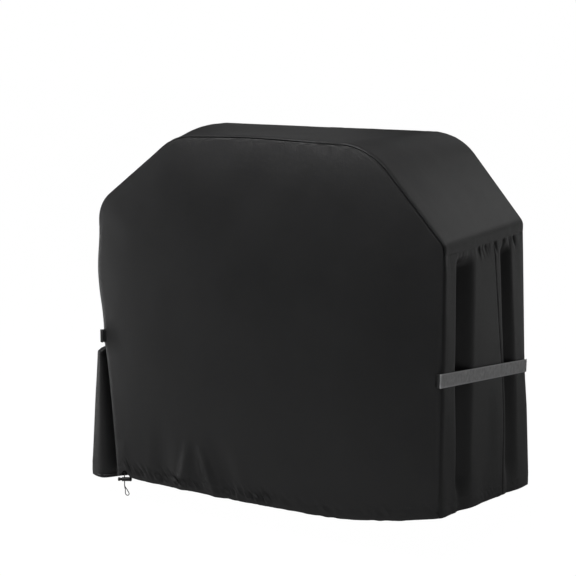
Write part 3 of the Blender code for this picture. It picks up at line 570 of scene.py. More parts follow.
def sideSpot(side, y, row):
    # a point of a side panel
    z = levelOf(row, sideLift(side, y) + hemCloth["sideWave"] * softNoise(y, 0, cells["sideWave"], 73), y)
    seed = sideCloth["seeds"][side]
    gap = seamGap(row)
    fromFront, fromBack = fromCorners(y, gap)
    edge = np.minimum(fromFront, fromBack)
    fromTop = shoulderSeam - row
    fromSeam = np.abs(y - sideSeam(row))
    inside = ramp(edge, 0.0, 0.05) * ramp(fromTop, 0.0, softEdge)
    out = sideCloth["soft"] * softNoise(y, 0.4 * row, cells["sideSoft"], seed) * inside
    # finger-like hollows of the cloth gathered into the shoulder seam
    full, end = sideCloth["fan"]
    fan = (1 - ramp(fromTop, full, end)) * ramp(fromTop, 0.0, full)
    where = gathering(y, sideCloth["gatherFrom"], sideCloth["gatherTo"])
    fingers = softNoise(y - 0.2 * fromTop, 0.1 * row, cells["sideGather"], seed + 1)
    fingers = np.clip(fingers + 0.30, 0, 1.2)
    out -= sideCloth["gather"] * fan * where * fingers * ramp(edge, 0.0, 0.04)
    puckers = hemShape(y, row, sideCloth["hemPucker"], hemCloth["evenShare"], seed + 2)
    out += puckers * ramp(edge, 0.0, softEdge)
    pull = seamPull(fromSeam, 0.012) * ramp(edge, 0.0, softEdge)
    out += sideCloth["seamPucker"] * pull * softNoise(row, 0, cells["sideSeam"], seed + 5)
    held = 1 - ramp(np.abs(z - strapLevel(y)), *hold["sideRun"])
    out = mix(out, np.minimum(out, 0) - cover["touch"], held)     # nothing stands into the strap
    corner = cornerTurns(fromFront, fromBack, gap, sideCloth["roll"] * (1 - held))
    corner = corner + sideCloth["shoulder"] * bump(fromTop, 0.06) * ramp(edge, 0.0, 0.03)
    flat = seamRoll(fromSeam, cover["flatSeamDeep"], cover["flatSeamRun"])
    flat = np.maximum(flat, seamRoll(fromTop, cover["shoulderSeamDeep"], cover["flatSeamRun"]))
    reach = sideReach(side, y, row) + out - corner - flat
    moved = y + wingPlace(y - frontY, row)[0] if side == "left" else y
    return np.stack([shoulders[side]["sign"] * reach, moved, z - cover["restHeight"]], 1)


# lines over the top from the right shoulder seam to the left one, at the front and the back
def overTop(back):
    right, left = shoulderLines["right", back], shoulderLines["left", back] * [-1, 1]
    flat = np.linspace(right[-1], left[-1], 60)[1:-1]
    points = np.concatenate([right, flat, left[::-1]])
    along = unit(np.gradient(points, axis=0))
    return points, np.stack([along[:, 1], -along[:, 0]], 1)


topLines = {back: overTop(back) for back in (False, True)}
topMiddle = (topLines[False][0] + topLines[True][0]) / 2
topWalk = walkAlong(topMiddle)
topLength = topWalk[-1]


def topLineAt(along, kind, share):
    # a place on the top, or its direction outwards, between the lines at the front and the back
    ends = [np.stack([np.interp(along, topWalk, topLines[back][kind][:, axis]) for axis in (0, 1)], 1)
            for back in (False, True)]
    return mix(*ends, share)


def topSpot(along, y):
    # a point of the top panel
    share = np.clip((y - frontY - 2 * hang["margin"]) / (cover["depth"] - 4 * hang["margin"]), 0, 1)
    point = topLineAt(along, 0, share[:, None])
    outward = unit(topLineAt(along, 1, share[:, None]))
    gap = cover["seamHalfGap"]
    fromFront, fromBack = fromCorners(y, gap)
    edge = np.minimum(fromFront, fromBack)
    fromEnd = np.minimum(along, topLength - along)
    inside = ramp(edge, 0.0, 0.05) * ramp(fromEnd, 0.0, 0.03)
    seed = topCloth["seed"]
    out = topCloth["soft"] * softNoise(along, y, cells["topSoft"], seed) * inside
    out += 0.4 * topCloth["soft"] * softNoise(along, 0.7 * y, cells["topFine"], seed + 1) * inside
    puckers = softNoise(along, 0.3 * y, cells["topSeam"], seed + 2)
    out += topCloth["seamPucker"] * seamPull(edge, 0.016, 0.007) * puckers
    out += topCloth["full"] * ramp(edge, 0.0, 0.014) * ramp(point[:, 1], shoulderSeam, edgeHeight)
    # the left crown is rounder
    (fromLeft, half), (middle, halfShare) = topCloth["crownAlong"], topCloth["crownAcross"]
    rounder = bump(along - topLength + fromLeft, half) * bump(share - middle, halfShare)
    out += topCloth["leftCrown"] * rounder
    gathers = (1 - ramp(fromEnd, 0.004, 0.035)) * ramp(fromEnd, 0.0, 0.004)
    out += topCloth["gather"] * gathers * softNoise(y, 0, cells["topGather"], seed + 3) * inside
    corner = cornerTurns(fromFront, fromBack, gap, topCloth["roll"])
    corner = corner + topCloth["shoulder"] * bump(fromEnd, 0.07) * ramp(edge, 0.0, 0.03)
    flat = seamRoll(fromEnd, cover["shoulderSeamDeep"], cover["flatSeamRun"])
    point = point + outward * (out - corner - flat)[:, None]
    crown = frontCrown(point[:, 0]) * (1 - ramp(fromFront, 0.0, 0.30))
    return np.stack([point[:, 0], y, point[:, 1] + crown - cover["restHeight"]], 1)


# building blocks for meshes

edgeSteps = [0.0, 0.0010, 0.0022, 0.0038, 0.0060, 0.0090, 0.0130, 0.0180]
edgeRun = 0.024       # what the close steps at an edge take up
weldWithin = 0.00001


def spreadOut(shares):
    # places between two limits, as (metres from the low one, share of what is left), closer at the ends
    low = [(step, 0.0) for step in edgeSteps]
    high = [(2 * edgeRun - step, 1.0) for step in reversed(edgeSteps)]
    return np.array(low + [(edgeRun, share) for share in shares] + high)


def between(low, high, column):
    return low + column[:, 0] + (high - low - 2 * edgeRun) * column[:, 1]


def meshOf(name, shape):
    mesh = bpy.data.meshes.new(name)
    shape.to_mesh(mesh)
    shape.free()
    return mesh


def newPiece(name, shape, material, body, nodes=()):
    mesh = meshOf(name, shape)
    mesh.shade_smooth()
    piece = bpy.data.objects.new(name, mesh)
    mesh.materials.append(material)
    pieces.objects.link(piece)
    return settle(piece, body, nodes)


def settle(piece, body, nodes=()):
    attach(piece, body)
    if nodes:
        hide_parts(*nodes)
    return piece


def thicken(piece, thick):
    wall = piece.modifiers.new("clothThickness", "SOLIDIFY")
    wall.thickness = thick
    wall.offset = -1.0


def gridShape(columns, rows, spot, flat, outward):
    # a grid of cloth laid by spot, with its flat place in the UV map; gives each point's column and row
    shape = bmesh.new()
    bmesh.ops.create_grid(shape, x_segments=len(columns) - 1, y_segments=len(rows) - 1, size=0.5)
    place = np.array([vert.co[:2] for vert in shape.verts]) + 0.5
    column = np.rint(place[:, 0] * (len(columns) - 1)).astype(int)
    row = np.rint(place[:, 1] * (len(rows) - 1)).astype(int)
    spots = spot(columns[column], rows[row])
    flats = flat(columns[column], rows[row])
    for vert, point in zip(shape.verts, spots):
        vert.co = point
    layer = shape.loops.layers.uv.new("flatCloth")
    for face in shape.faces:
        for loop in face.loops:
            loop[layer].uv = flats[loop.vert.index]
    shape.normal_update()
    facing = sum((face.normal * face.calc_area() for face in shape.faces), Vector())
    if facing.dot(Vector(outward)) < 0:
        bmesh.ops.reverse_faces(shape, faces=shape.faces)
    shape.verts.ensure_lookup_table()
    return shape, column, row


def roundEdges(shape, edges, size, steps):
    bmesh.ops.bevel(shape, geom=edges, offset=size, segments=steps, profile=0.5, affect="EDGES", material=-1)


def turnEdge(shape, verts, moves):
    # turns an open edge of cloth in: each move is a function from a point to how far it goes
    chosen = set(verts)
    edges = [edge for edge in shape.edges if edge.is_boundary and all(vert in chosen for vert in edge.verts)]
    for move in moves:
        made = bmesh.ops.extrude_edge_only(shape, edges=edges)["geom"]
        fresh = [item for item in made if isinstance(item, bmesh.types.BMVert)]
        edges = [item for item in made if isinstance(item, bmesh.types.BMEdge)]
        for vert in fresh:
            vert.co += Vector(move(vert.co))


def nearestInward(back):
    points, inward = outlines[back]
    points = points - np.array([0, cover["restHeight"]])

    def direction(co):
        best = np.hypot(points[:, 0] - co.x, points[:, 1] - co.z).argmin()
        return inward[best]
    return direction


def hemTurn(inward):
    # the hem's own fold: in under the cloth and up behind it
    under, rise, behind = 0.0022, 0.0004, 0.011
    return [lambda co: (under * inward[0], under * inward[1], rise), lambda co: (0, 0, behind)]


def edgeVerts(verts, index, *wanted):
    return [vert for vert, value in zip(verts, index) if value in wanted]


# materials

def nodesOf(material):
    material.use_nodes = True
    tree = material.node_tree
    return tree, tree.nodes["Principled BSDF"]


def addNode(tree, kind, **values):
    node = tree.nodes.new(kind)
    for key, value in values.items():
        if key in node.inputs:
            node.inputs[key].default_value = value
        else:
            setattr(node, key, value)
    return node


def feed(tree, value, socket):
    # a number or colour is set, an output socket is linked
    if isinstance(value, bpy.types.NodeSocket):
        tree.links.new(value, socket)
    else:
        socket.default_value = value


def mathNode(tree, operation, *values):
    node = addNode(tree, "ShaderNodeMath", operation=operation)
    for value, socket in zip(values, node.inputs):
        feed(tree, value, socket)
    return node.outputs[0]


def mapRange(tree, value, **limits):
    # limits as fromMin, fromMax, toMin, toMax
    names = {"fromMin": "From Min", "fromMax": "From Max", "toMin": "To Min", "toMax": "To Max"}
    node = addNode(tree, "ShaderNodeMapRange", **{names[key]: limit for key, limit in limits.items()})
    tree.links.new(value, node.inputs["Value"])
    return node.outputs["Result"]


def mixColour(tree, factor, first, second):
    node = addNode(tree, "ShaderNodeMix", data_type="RGBA")
    tree.links.new(factor, node.inputs["Factor"])
    for value, socket in zip((first, second), [socket for socket in node.inputs if socket.type == "RGBA"]):
        feed(tree, value, socket)
    return next(socket for socket in node.outputs if socket.type == "RGBA")


def splitVector(tree, vector):
    node = tree.nodes.new("ShaderNodeSeparateXYZ")
    tree.links.new(vector, node.inputs[0])
    return node.outputs


def bumpNode(tree, height, distance, under=None):
    # relief from a height, laid over another relief if there is one
    node = addNode(tree, "ShaderNodeBump", Strength=1.0, Distance=distance)
    tree.links.new(height, node.inputs["Height"])
    if under is not None:
        tree.links.new(under, node.inputs["Normal"])
    return node.outputs["Normal"]


def newGroup(name, inputs, outputs):
    group = bpy.data.node_groups.new(name, "ShaderNodeTree")
    for way, sockets in (("INPUT", inputs), ("OUTPUT", outputs)):
        for label, kind in sockets:
            group.interface.new_socket(label, in_out=way, socket_type="NodeSocket" + kind)
    return group, group.nodes.new("NodeGroupInput").outputs, group.nodes.new("NodeGroupOutput").inputs


def weaveGroup():
    # height of over and under threads on a flat vector in metres
    wanted = [("Flat", "Vector"), ("Pitch", "Float")]
    group, given, result = newGroup("threadWeave", wanted, [("Height", "Float")])
    turned = addNode(group, "ShaderNodeVectorMath", operation="SCALE")
    group.links.new(given["Flat"], turned.inputs[0])
    group.links.new(mathNode(group, "DIVIDE", 2 * math.pi, given["Pitch"]), turned.inputs["Scale"])
    parts = splitVector(group, turned.outputs[0])
    waves = [mathNode(group, "SINE", parts[axis]) for axis in ("X", "Y")]
    both = mathNode(group, "MULTIPLY", *waves)
    group.links.new(mathNode(group, "MULTIPLY_ADD", both, 0.5, 0.5), result["Height"])
    return group


def wearGroup():
    # cloudy fading from noise on Object coordinates
    wanted = [("Place", "Vector"), ("Scale", "Float"), ("Base", "Color"), ("Faded", "Color")]
    group, given, result = newGroup("cloudyWear", wanted, [("Color", "Color"), ("Cloud", "Float")])
    cloud = addNode(group, "ShaderNodeTexNoise", Detail=4.0, Roughness=0.55)
    group.links.new(given["Place"], cloud.inputs["Vector"])
    group.links.new(given["Scale"], cloud.inputs["Scale"])
    spread = mapRange(group, cloud.outputs["Fac"], fromMin=0.32, fromMax=0.70)
    group.links.new(mixColour(group, spread, given["Base"], given["Faded"]), result["Color"])
    group.links.new(spread, result["Cloud"])
    return group


weave = weaveGroup()
wear = wearGroup()


def threadsOn(tree, place, pitch):
    threads = addNode(tree, "ShaderNodeGroup", node_tree=weave, Pitch=pitch)
    tree.links.new(place["UV"], threads.inputs["Flat"])
    return threads.outputs["Height"]


def cloudsOn(tree, shader, place, look):
    # the faded colour, after setting the roughness from the same clouds
    clouds = addNode(tree, "ShaderNodeGroup", node_tree=wear, Scale=look["cloudScale"],
                     Base=(*look["colour"], 1), Faded=(*look["faded"], 1))
    tree.links.new(place["Object"], clouds.inputs["Place"])
    low, high = look["rough"]
    rough = mapRange(tree, clouds.outputs["Cloud"], toMin=low, toMax=high)
    tree.links.new(rough, shader.inputs["Roughness"])
    return clouds.outputs["Color"]


def newFinish(name):
    material = bpy.data.materials.new(name)
    tree, shader = nodesOf(material)
    return material, tree, shader, tree.nodes.new("ShaderNodeTexCoord").outputs


def clothFinish(name, look):
    # woven cloth with a coating: threads from the UV map, clouds from Object coordinates
    material, tree, shader, place = newFinish(name)
    tree.links.new(cloudsOn(tree, shader, place, look), shader.inputs["Base Color"])
    crumple = addNode(tree, "ShaderNodeTexNoise", Scale=look["crumpleScale"], Detail=3.0)
    tree.links.new(place["Object"], crumple.inputs["Vector"])
    soft = bumpNode(tree, crumple.outputs["Fac"], look["crumple"])
    relief = bumpNode(tree, threadsOn(tree, place, look["pitch"]), look["relief"], soft)
    tree.links.new(relief, shader.inputs["Normal"])
    shader.inputs["Specular IOR Level"].default_value = look["specular"]
    shader.inputs["Sheen Weight"].default_value = look["sheen"]
    shader.inputs["Sheen Roughness"].default_value = 0.45
    return material


coverCloth = clothFinish("coatedBlackCloth", {
    "pitch": 0.0009, "colour": (0.0085, 0.0085, 0.0090), "faded": (0.0125, 0.0125, 0.0130),
    "cloudScale": 5.0, "rough": (0.425, 0.455), "crumpleScale": 38.0, "crumple": 0.0005, "relief": 0.00010,
    "specular": 0.50, "sheen": 0.02})
tapeCloth = clothFinish("blackSeamTape", {
    "pitch": 0.0008, "colour": (0.010, 0.010, 0.010), "faded": (0.015, 0.015, 0.015),
    "cloudScale": 20.0, "rough": (0.70, 0.82), "crumpleScale": 90.0, "crumple": 0.0006, "relief": 0.00012,
    "specular": 0.35, "sheen": 0.05})


def webbingFinish(name, look):
    # ribbed webbing: ribs across the strap, threads between them, thick paler edges, and painted shade on the
    # end that wraps round to the front
    material, tree, shader, place = newFinish(name)
    along = splitVector(tree, place["UV"])
    ribs = mathNode(tree, "SINE", mathNode(tree, "MULTIPLY", along["X"], 2 * math.pi / look["rib"]))
    across = mathNode(tree, "ABSOLUTE", along["Y"])
    selvage = mapRange(tree, across, fromMin=look["edge"], fromMax=look["edge"] + look["edgeBlur"])
    clouds = cloudsOn(tree, shader, place, look)
    paler = mixColour(tree, selvage, clouds, (*look["pale"], 1))
    # painted shade: the end that wraps round to the front is coloured near black where it would catch the
    # front light
    spot = splitVector(tree, place["Object"])
    wrapped = mapRange(tree, spot["Y"], fromMin=frontY, fromMax=frontY + look["wrapShadeBlur"],
                       toMin=1.0, toMax=0.0)
    tip = mathNode(tree, "LESS_THAN", mathNode(tree, "ABSOLUTE", spot["X"]), look["wrapShadeReach"])
    paintedShade = mathNode(tree, "MULTIPLY", wrapped, tip)
    tree.links.new(mixColour(tree, paintedShade, paler, (*look["end"], 1)), shader.inputs["Base Color"])
    ribHeight = bumpNode(tree, ribs, look["ribRelief"])
    relief = bumpNode(tree, threadsOn(tree, place, look["pitch"]), look["relief"], ribHeight)
    tree.links.new(relief, shader.inputs["Normal"])
    shader.inputs["Sheen Weight"].default_value = look["sheen"]
    return material


def grainFinish(name, look):
    # moulded plastic, hook tape, cord or steel: clouds and a bump of one grain size on Object coordinates
    material, tree, shader, place = newFinish(name)
    tree.links.new(cloudsOn(tree, shader, place, look), shader.inputs["Base Color"])
    grain = addNode(tree, look["grain"], Scale=look["grainScale"])
    tree.links.new(place["Object"], grain.inputs["Vector"])
    height = grain.outputs["Fac"] if "Fac" in grain.outputs else grain.outputs["Distance"]
    tree.links.new(bumpNode(tree, height, look["relief"]), shader.inputs["Normal"])
    shader.inputs["Metallic"].default_value = look.get("metallic", 0.0)
    return material


strapWebbing = webbingFinish("greyWebbing", {
    "colour": (0.430, 0.430, 0.435), "faded": (0.640, 0.640, 0.645), "pale": (0.640, 0.640, 0.645),
    "cloudScale": 70.0, "rough": (0.66, 0.82), "pitch": 0.0012, "relief": 0.00012, "rib": 0.0030,
    # end: the near-black colour painted as shade on the strap's wrapped front end
    "ribRelief": 0.00030, "edge": 0.0175, "edgeBlur": 0.003, "end": (0.012, 0.012, 0.013),
    "wrapShadeReach": 0.6568, "wrapShadeBlur": 0.002, "sheen": 0.15})
hookTape = grainFinish("blackHookTape", {
    "colour": (0.006, 0.006, 0.006), "faded": (0.012, 0.012, 0.012), "cloudScale": 120.0,
    "rough": (0.8, 0.95), "grain": "ShaderNodeTexVoronoi", "grainScale": 900.0, "relief": 0.0005})
cordBraid = grainFinish("blackBraidedCord", {
    "colour": (0.010, 0.010, 0.010), "faded": (0.018, 0.018, 0.018), "cloudScale": 160.0,
    "rough": (0.6, 0.8), "grain": "ShaderNodeTexVoronoi", "grainScale": 1300.0, "relief": 0.0003})
mouldedPlastic = grainFinish("blackMouldedPlastic", {
    "colour": (0.011, 0.011, 0.011), "faded": (0.017, 0.017, 0.017), "cloudScale": 140.0,
    "rough": (0.34, 0.46), "grain": "ShaderNodeTexNoise", "grainScale": 2600.0, "relief": 0.00006})
springSteel = grainFinish("springSteel", {
    "colour": (0.50, 0.50, 0.51), "faded": (0.58, 0.58, 0.58), "cloudScale": 300.0, "rough": (0.24, 0.36),
    "grain": "ShaderNodeTexNoise", "grainScale": 3000.0, "relief": 0.00002, "metallic": 1.0})
sewingThread = grainFinish("blackSewingThread", {
    "colour": (0.014, 0.014, 0.014), "faded": (0.024, 0.024, 0.024), "cloudScale": 200.0,
    "rough": (0.55, 0.7), "grain": "ShaderNodeTexNoise", "grainScale": 2500.0, "relief": 0.0001})
greyThread = grainFinish("greySewingThread", {
    "colour": (0.10, 0.10, 0.102), "faded": (0.15, 0.15, 0.152), "cloudScale": 200.0, "rough": (0.6, 0.75),
    "grain": "ShaderNodeTexNoise", "grainScale": 2500.0, "relief": 0.0001})
print("materials made")


# panels
turnDeep = cover["allowance"] / math.sqrt(2)


def rowsFrom(stops):
    # heights from stretches of (end, number of steps), starting at the hem
    values = [0.0]
    for end, count in stops:
        values += list(np.linspace(values[-1], end, count + 1)[1:])
    return values


def endPanel(back):
    # the front or back panel
    top = edgeHeight - cornerSeam(back)["aside"] - cover["seamHalfGap"]
    rows = rowsFrom([(0.008, 3), (0.030, 5), (0.045, 6), (0.08, 7), (0.30, 26), (top - edgeRun, 78)])
    rows = np.array(rows + [top - step for step in reversed(edgeSteps)])
    # finer columns where the front hem is gathered
    fine, coarse = 0.0075 if back else 0.0050, 0.0085
    places = list(np.arange(-0.60, 0.10, fine)) + list(np.arange(0.10, 0.66, coarse))
    shares = (np.array(places) - places[0]) / (places[-1] - places[0])
    columns = spreadOut(shares)

    def lay(column, row):
        low, high = endPanelLimits(back, row)
        return between(low, high, column), row

    def spot(column, row):
        return endPanelSpot(back, *lay(column, row))

    def flat(column, row):
        return np.stack(lay(column, row), 1)

    into = -1 if back else 1
    shape, column, row = gridShape(columns, rows, spot, flat, (0, -into, 0))
    verts = list(shape.verts)
    seam = edgeVerts(verts, column, 0, len(columns) - 1) + edgeVerts(verts, row, len(rows) - 1)
    hem = edgeVerts(verts, row, 0)
    inward = nearestInward(back)

    def allowance(co):
        across = inward(co)
        return (across[0] * turnDeep, into * turnDeep, across[1] * turnDeep)

    turnEdge(shape, seam, [allowance])
    turnEdge(shape, hem, hemTurn((0, into)))
    name = "back" if back else "front"
    piece = newPiece(name + "PanelCloth", shape, coverCloth, "cover", [name + "_panel"])
    thicken(piece, cover["clothThick"])


def topPanel():
    columns = spreadOut(np.linspace(0, 1, 230))
    rows = spreadOut(np.linspace(0, 1, 78))
    gap, halfGap = cover["seamHalfGap"], cover["cornerHalfGap"]
    first, last = frontY + cover["frontSeam"]["deep"] + gap, backY - cover["rearSeam"]["deep"] - gap

    def lay(column, row):
        return between(halfGap, topLength - halfGap, column), between(first, last, row)

    shape, column, row = gridShape(columns, rows, lambda c, r: topSpot(*lay(c, r)),
                                   lambda c, r: np.stack(lay(c, r), 1), (0, 0, 1))
    verts = list(shape.verts)

    def allowance(co):
        points, outwards = topLines[co.y > 0]
        best = np.hypot(points[:, 0] - co.x, points[:, 1] - co.z - cover["restHeight"]).argmin()
        outward = outwards[best]
        return (-outward[0] * turnDeep, math.copysign(turnDeep, -co.y), -outward[1] * turnDeep)

    def endAllowance(co):
        return (math.copysign(cover["allowance"], -co.x), 0, 0)

    turnEdge(shape, edgeVerts(verts, row, 0, len(rows) - 1), [allowance])
    turnEdge(shape, edgeVerts(verts, column, 0, len(columns) - 1), [endAllowance])
    piece = newPiece("topPanelCloth", shape, coverCloth, "cover", ["top_panel"])
    thicken(piece, cover["clothThick"])


def sidePanel(side, back):
    # one half of a side, in front of its seam or behind it
    halfGap = cover["cornerHalfGap"]
    top = shoulderSeam - halfGap
    rows = rowsFrom([(0.008, 3), (0.030, 5), (0.045, 6), (0.08, 6), (0.78, 84), (top - edgeRun, 22)])
    rows = np.array(rows + [top - step for step in reversed(edgeSteps)])
    columns = spreadOut(np.linspace(0, 1, 46 if back else 110))

    def lay(column, row):
        seam, gap = sideSeam(row), seamGap(row)
        if back:
            return between(seam + halfGap, backY - cover["rearSeam"]["deep"] - gap, column), row
        return between(frontY + cover["frontSeam"]["deep"] + gap, seam - halfGap, column), row

    sign = shoulders[side]["sign"]
    shape, column, row = gridShape(columns, rows, lambda c, r: sideSpot(side, *lay(c, r)),
                                   lambda c, r: np.stack(lay(c, r), 1), (sign, 0, 0))
    verts = list(shape.verts)
    lastColumn = len(columns) - 1
    cornerColumn, seamColumn = (lastColumn, 0) if back else (0, lastColumn)
    into = -1 if back else 1
    corner = [lambda co: (-sign * turnDeep, into * turnDeep, 0)]
    flatSeam = [lambda co: (-sign * cover["allowance"], 0, 0)]
    turnEdge(shape, edgeVerts(verts, column, cornerColumn), corner)
    turnEdge(shape, edgeVerts(verts, column, seamColumn), flatSeam)
    turnEdge(shape, edgeVerts(verts, row, len(rows) - 1), flatSeam)
    turnEdge(shape, edgeVerts(verts, row, 0), hemTurn((-sign, 0)))
    half = "Rear" if back else "Front"
    piece = newPiece(f"{side}Side{half}Cloth", shape, coverCloth, "cover",
                     [f"{side}_side_{half.lower()}_panel"])
    thicken(piece, cover["clothThick"])


endPanel(False)
endPanel(True)
topPanel()
for side in shoulders:
    sidePanel(side, False)
    sidePanel(side, True)
print("panels sewn")


# hook and loop patches, and the straps that bend round the front corners onto them
patch = {"thick": 0.0015, "backing": 0.0007, "reach": 0.022, "inset": 0.003, "margin": 0.001, "touch": 0.0003,
         "hookPitch": 0.0015, "pilePitch": 0.0016, "cornerRound": 0.0014, "rimRound": 0.00015,
         "rim": (0.0015, 0.002), "hook": (0.00026, 0.00012), "pile": (0.0006, 0.0006, 0.00042)}
# the webbing's rows, counted from its edges, and how much thinner the edges are
strapEdge = {"steps": (0.0, 0.0008, 0.0024), "flat": 0.010, "thinner": 0.00045, "run": 0.0026}
strapRows = np.array([step - strapHalf for step in strapEdge["steps"]]
                     + [-strapEdge["flat"], 0, strapEdge["flat"]]
                     + [strapHalf - step for step in reversed(strapEdge["steps"])])
rootColumns = np.array([-0.0120, -0.0117, -0.0110, -0.0075, -0.0040, -0.0010, -0.0003, 0.0])
rootLevel = strapLevel(backY - webbing["root"] / 2) - cover["restHeight"]


def edgeThin(row):
    return strapEdge["thinner"] * ramp(np.abs(row), strapHalf - strapEdge["run"], strapHalf)


def rootReach(side):
    return reachAt(side, True, strapLow) + cover["touch"] + webbing["thick"]


def strapPlan(side):
    # the strap's outer face seen from above, from its hinge to its front end
    frontReach, rearReach = reachAt(side, False, webbing["front"]), reachAt(side, True, strapLow)
    face = frontY - 2 * (patch["touch"] + patch["thick"]) - patch["touch"] - webbing["thick"]
    out = webbing["standOff"] + webbing["thick"]
    start = np.array([rearReach + out, backY - webbing["root"] - webbing["hinge"]])
    centre = np.array([frontReach + out - webbing["bend"], face + webbing["bend"]])
    straight = np.linspace(start, centre + [webbing["bend"], 0], 160)[:-1]
    angles = np.linspace(0, -math.pi / 2, 12)
    turn = centre + webbing["bend"] * np.stack([np.cos(angles), np.sin(angles)], 1)
    end = np.linspace(turn[-1], [frontReach - webbing["wrap"], face], 6)[1:]
    return np.concatenate([straight, turn, end])


def strapPiece(side):
    plan = strapPlan(side)
    sign = shoulders[side]["sign"]
    walked = walkAlong(plan)

    def spot(column, row):
        point = plan[column]
        x = sign * (point[:, 0] - edgeThin(row))
        z = strapLevel(np.maximum(point[:, 1], frontY)) + row - cover["restHeight"]
        return np.stack([x, point[:, 1], z], 1)

    def flat(column, row):
        return np.stack([walked[column], row], 1)

    shape = gridShape(np.arange(len(plan)), strapRows, spot, flat, (sign, 0, 0))[0]
    body = side + "_strap"
    piece = newPiece(side + "StrapWebbing", shape, strapWebbing, body, [side + "_strap"])
    thicken(piece, webbing["thick"])


def strapRoot(side):
    # the strap's sewn end, flat on the rear corner
    sign = shoulders[side]["sign"]
    reach = rootReach(side)
    deep, run = webbing["rootIn"]

    def spot(column, row):
        thin = edgeThin(row) + deep * np.clip(1 + column / run, 0, 1) ** 2
        return np.stack([sign * (reach - thin), backY + column, rootLevel + row], 1)

    shape = gridShape(rootColumns, strapRows, spot, lambda c, r: np.stack([c, r], 1), (sign, 0, 0))[0]
    name = side + "StrapRootWebbing"
    piece = newPiece(name, shape, strapWebbing, "cover", [side + "_strap_root"])
    thicken(piece, webbing["thick"])


for side in shoulders:
    strapPiece(side)
for side in shoulders:
    strapRoot(side)
print("straps laid")


def patchPiece(side, kind):
    # a backing with small hooks, or with a low pile
    sign = shoulders[side]["sign"]
    outer = reachAt(side, False, webbing["front"]) - patch["inset"]
    isHook = kind == "hook"
    wide = (patch["reach"] if isHook else webbing["wrap"]) - patch["inset"]
    tall = webbing["wide"] - 2 * patch["margin"]
    clothFace = frontY - patch["touch"]
    back = clothFace if isHook else clothFace - 2 * patch["thick"] - patch["touch"]   # the side it is sewn to
    away = -1 if isHook else 1
    level = webbing["front"] - cover["restHeight"]
    centre = (sign * (outer - wide / 2), back + away * patch["backing"] / 2, level)
    shape = bmesh.new()
    bmesh.ops.create_cube(shape, size=1.0)
    bmesh.ops.scale(shape, vec=(wide, patch["backing"], tall), verts=shape.verts)
    upright = [edge for edge in shape.edges if abs((edge.verts[0].co - edge.verts[1].co).y) > 0.0005]
    roundEdges(shape, upright, patch["cornerRound"], 3)
    rim = [edge for edge in shape.edges if edge.calc_length() > 0 and len(edge.link_faces) == 2
           and edge.calc_face_angle(0.0) > 1.0]
    roundEdges(shape, rim, patch["rimRound"], 2)
    pitch = patch["hookPitch"] if isHook else patch["pilePitch"]
    tallness = patch["thick"] - patch["backing"]
    turn = Matrix.Rotation(math.radians(90 if isHook else -90), 4, "X")
    rimX, rimZ = patch["rim"]
    foot, tip = patch["hook"]
    pile = Matrix.Diagonal((*patch["pile"], 1))
    for stepX in range(int((wide - 2 * rimX) / pitch) + 1):
        for stepZ in range(int((tall - 2 * rimZ) / pitch) + 1):
            x = -wide / 2 + rimX + stepX * pitch
            z = -tall / 2 + rimZ + stepZ * pitch + 0.25 * pitch * (stepX % 2)
            root = Matrix.Translation((x, away * (patch["backing"] + tallness) / 2, z)) @ turn
            if isHook:
                bmesh.ops.create_cone(shape, cap_ends=True, segments=5, radius1=foot, radius2=tip,
                                      depth=tallness, matrix=root)
            else:
                bmesh.ops.create_icosphere(shape, subdivisions=1, radius=1.0, matrix=root @ pile)
    bmesh.ops.translate(shape, vec=centre, verts=shape.verts)
    body = "cover" if isHook else side + "_strap"
    name = f"{side}{kind.capitalize()}Patch"
    newPiece(name, shape, hookTape, body, [f"{side}_{kind}_patch"])


for side in shoulders:
    patchPiece(side, "hook")
    patchPiece(side, "loop")
print("patches sewn on")


# hem casing and the drawcord in it, walked anticlockwise from the notch
casing = {
    # metres in from the cloth's face, height above the hem
    "section": [(0.0014, 0.0362), (0.0014, 0.0330), (0.0022, 0.0295), (0.0050, 0.0245), (0.0062, 0.0200),
                (0.0062, 0.0120), (0.0054, 0.0070), (0.0042, 0.0030)],
    "thick": 0.0007,
    "flatStep": 0.005,
    "mouth": 0.012,
    "cordThick": 0.0030,
    "cordIn": 0.0036,
    "cordRise": 0.0160,
    "cordTurn": 0.009,        # radius of the cord's turn in a corner, and how far in its centre is
    "cordTurnIn": 0.0122,
    "mouthIn": 0.0034,
    "stitchRise": 0.0365,
}
leftCorner = -reachAt("left", False, 0.0)
rightRear = reachAt("right", True, 0.0)
leftRear = -reachAt("left", True, 0.0)
margin = hang["margin"]


def onFace(back):
    return lambda x, row: endPanelSpot(back, x, row)


def onSide(side):
    return lambda y, row: sideSpot(side, y, row)


# each run of the casing: its cloth, where it starts and ends, the CAD node and the way it faces
hemRuns = {
    "frontHemCasing": (onFace(False), hang["notchX"] + casing["mouth"], halfWidth - margin,
                       ["front_hem_casing"], (0, -1, 0)),
    "rightHemCasing": (onSide("right"), frontY + margin, backY - margin, ["right_hem_casing"], (1, 0, 0)),
    "backHemCasing": (onFace(True), rightRear - margin, leftRear + margin, ["back_hem_casing"], (0, 1, 0)),
    "leftHemCasing": (onSide("left"), backY - margin, frontY + margin, ["left_hem_casing"], (-1, 0, 0)),
    "frontEndHemCasing": (onFace(False), leftCorner + margin, hang["notchX"] - casing["mouth"],
                          ["front_end_hem_casing"], (0, -1, 0)),
}


def hemPlaces(start, end, step, least=4):
    return np.linspace(start, end, max(int(abs(end - start) / step), least))


def hemLine(spot, places, row, inside):
    # points on the hem's face at one height above it, moved into the cover
    points = spot(places, np.full(len(places), row))
    run = unit(np.gradient(points[:, :2], axis=0))
    points[:, 0] -= run[:, 1] * inside
    points[:, 1] += run[:, 0] * inside
    return points


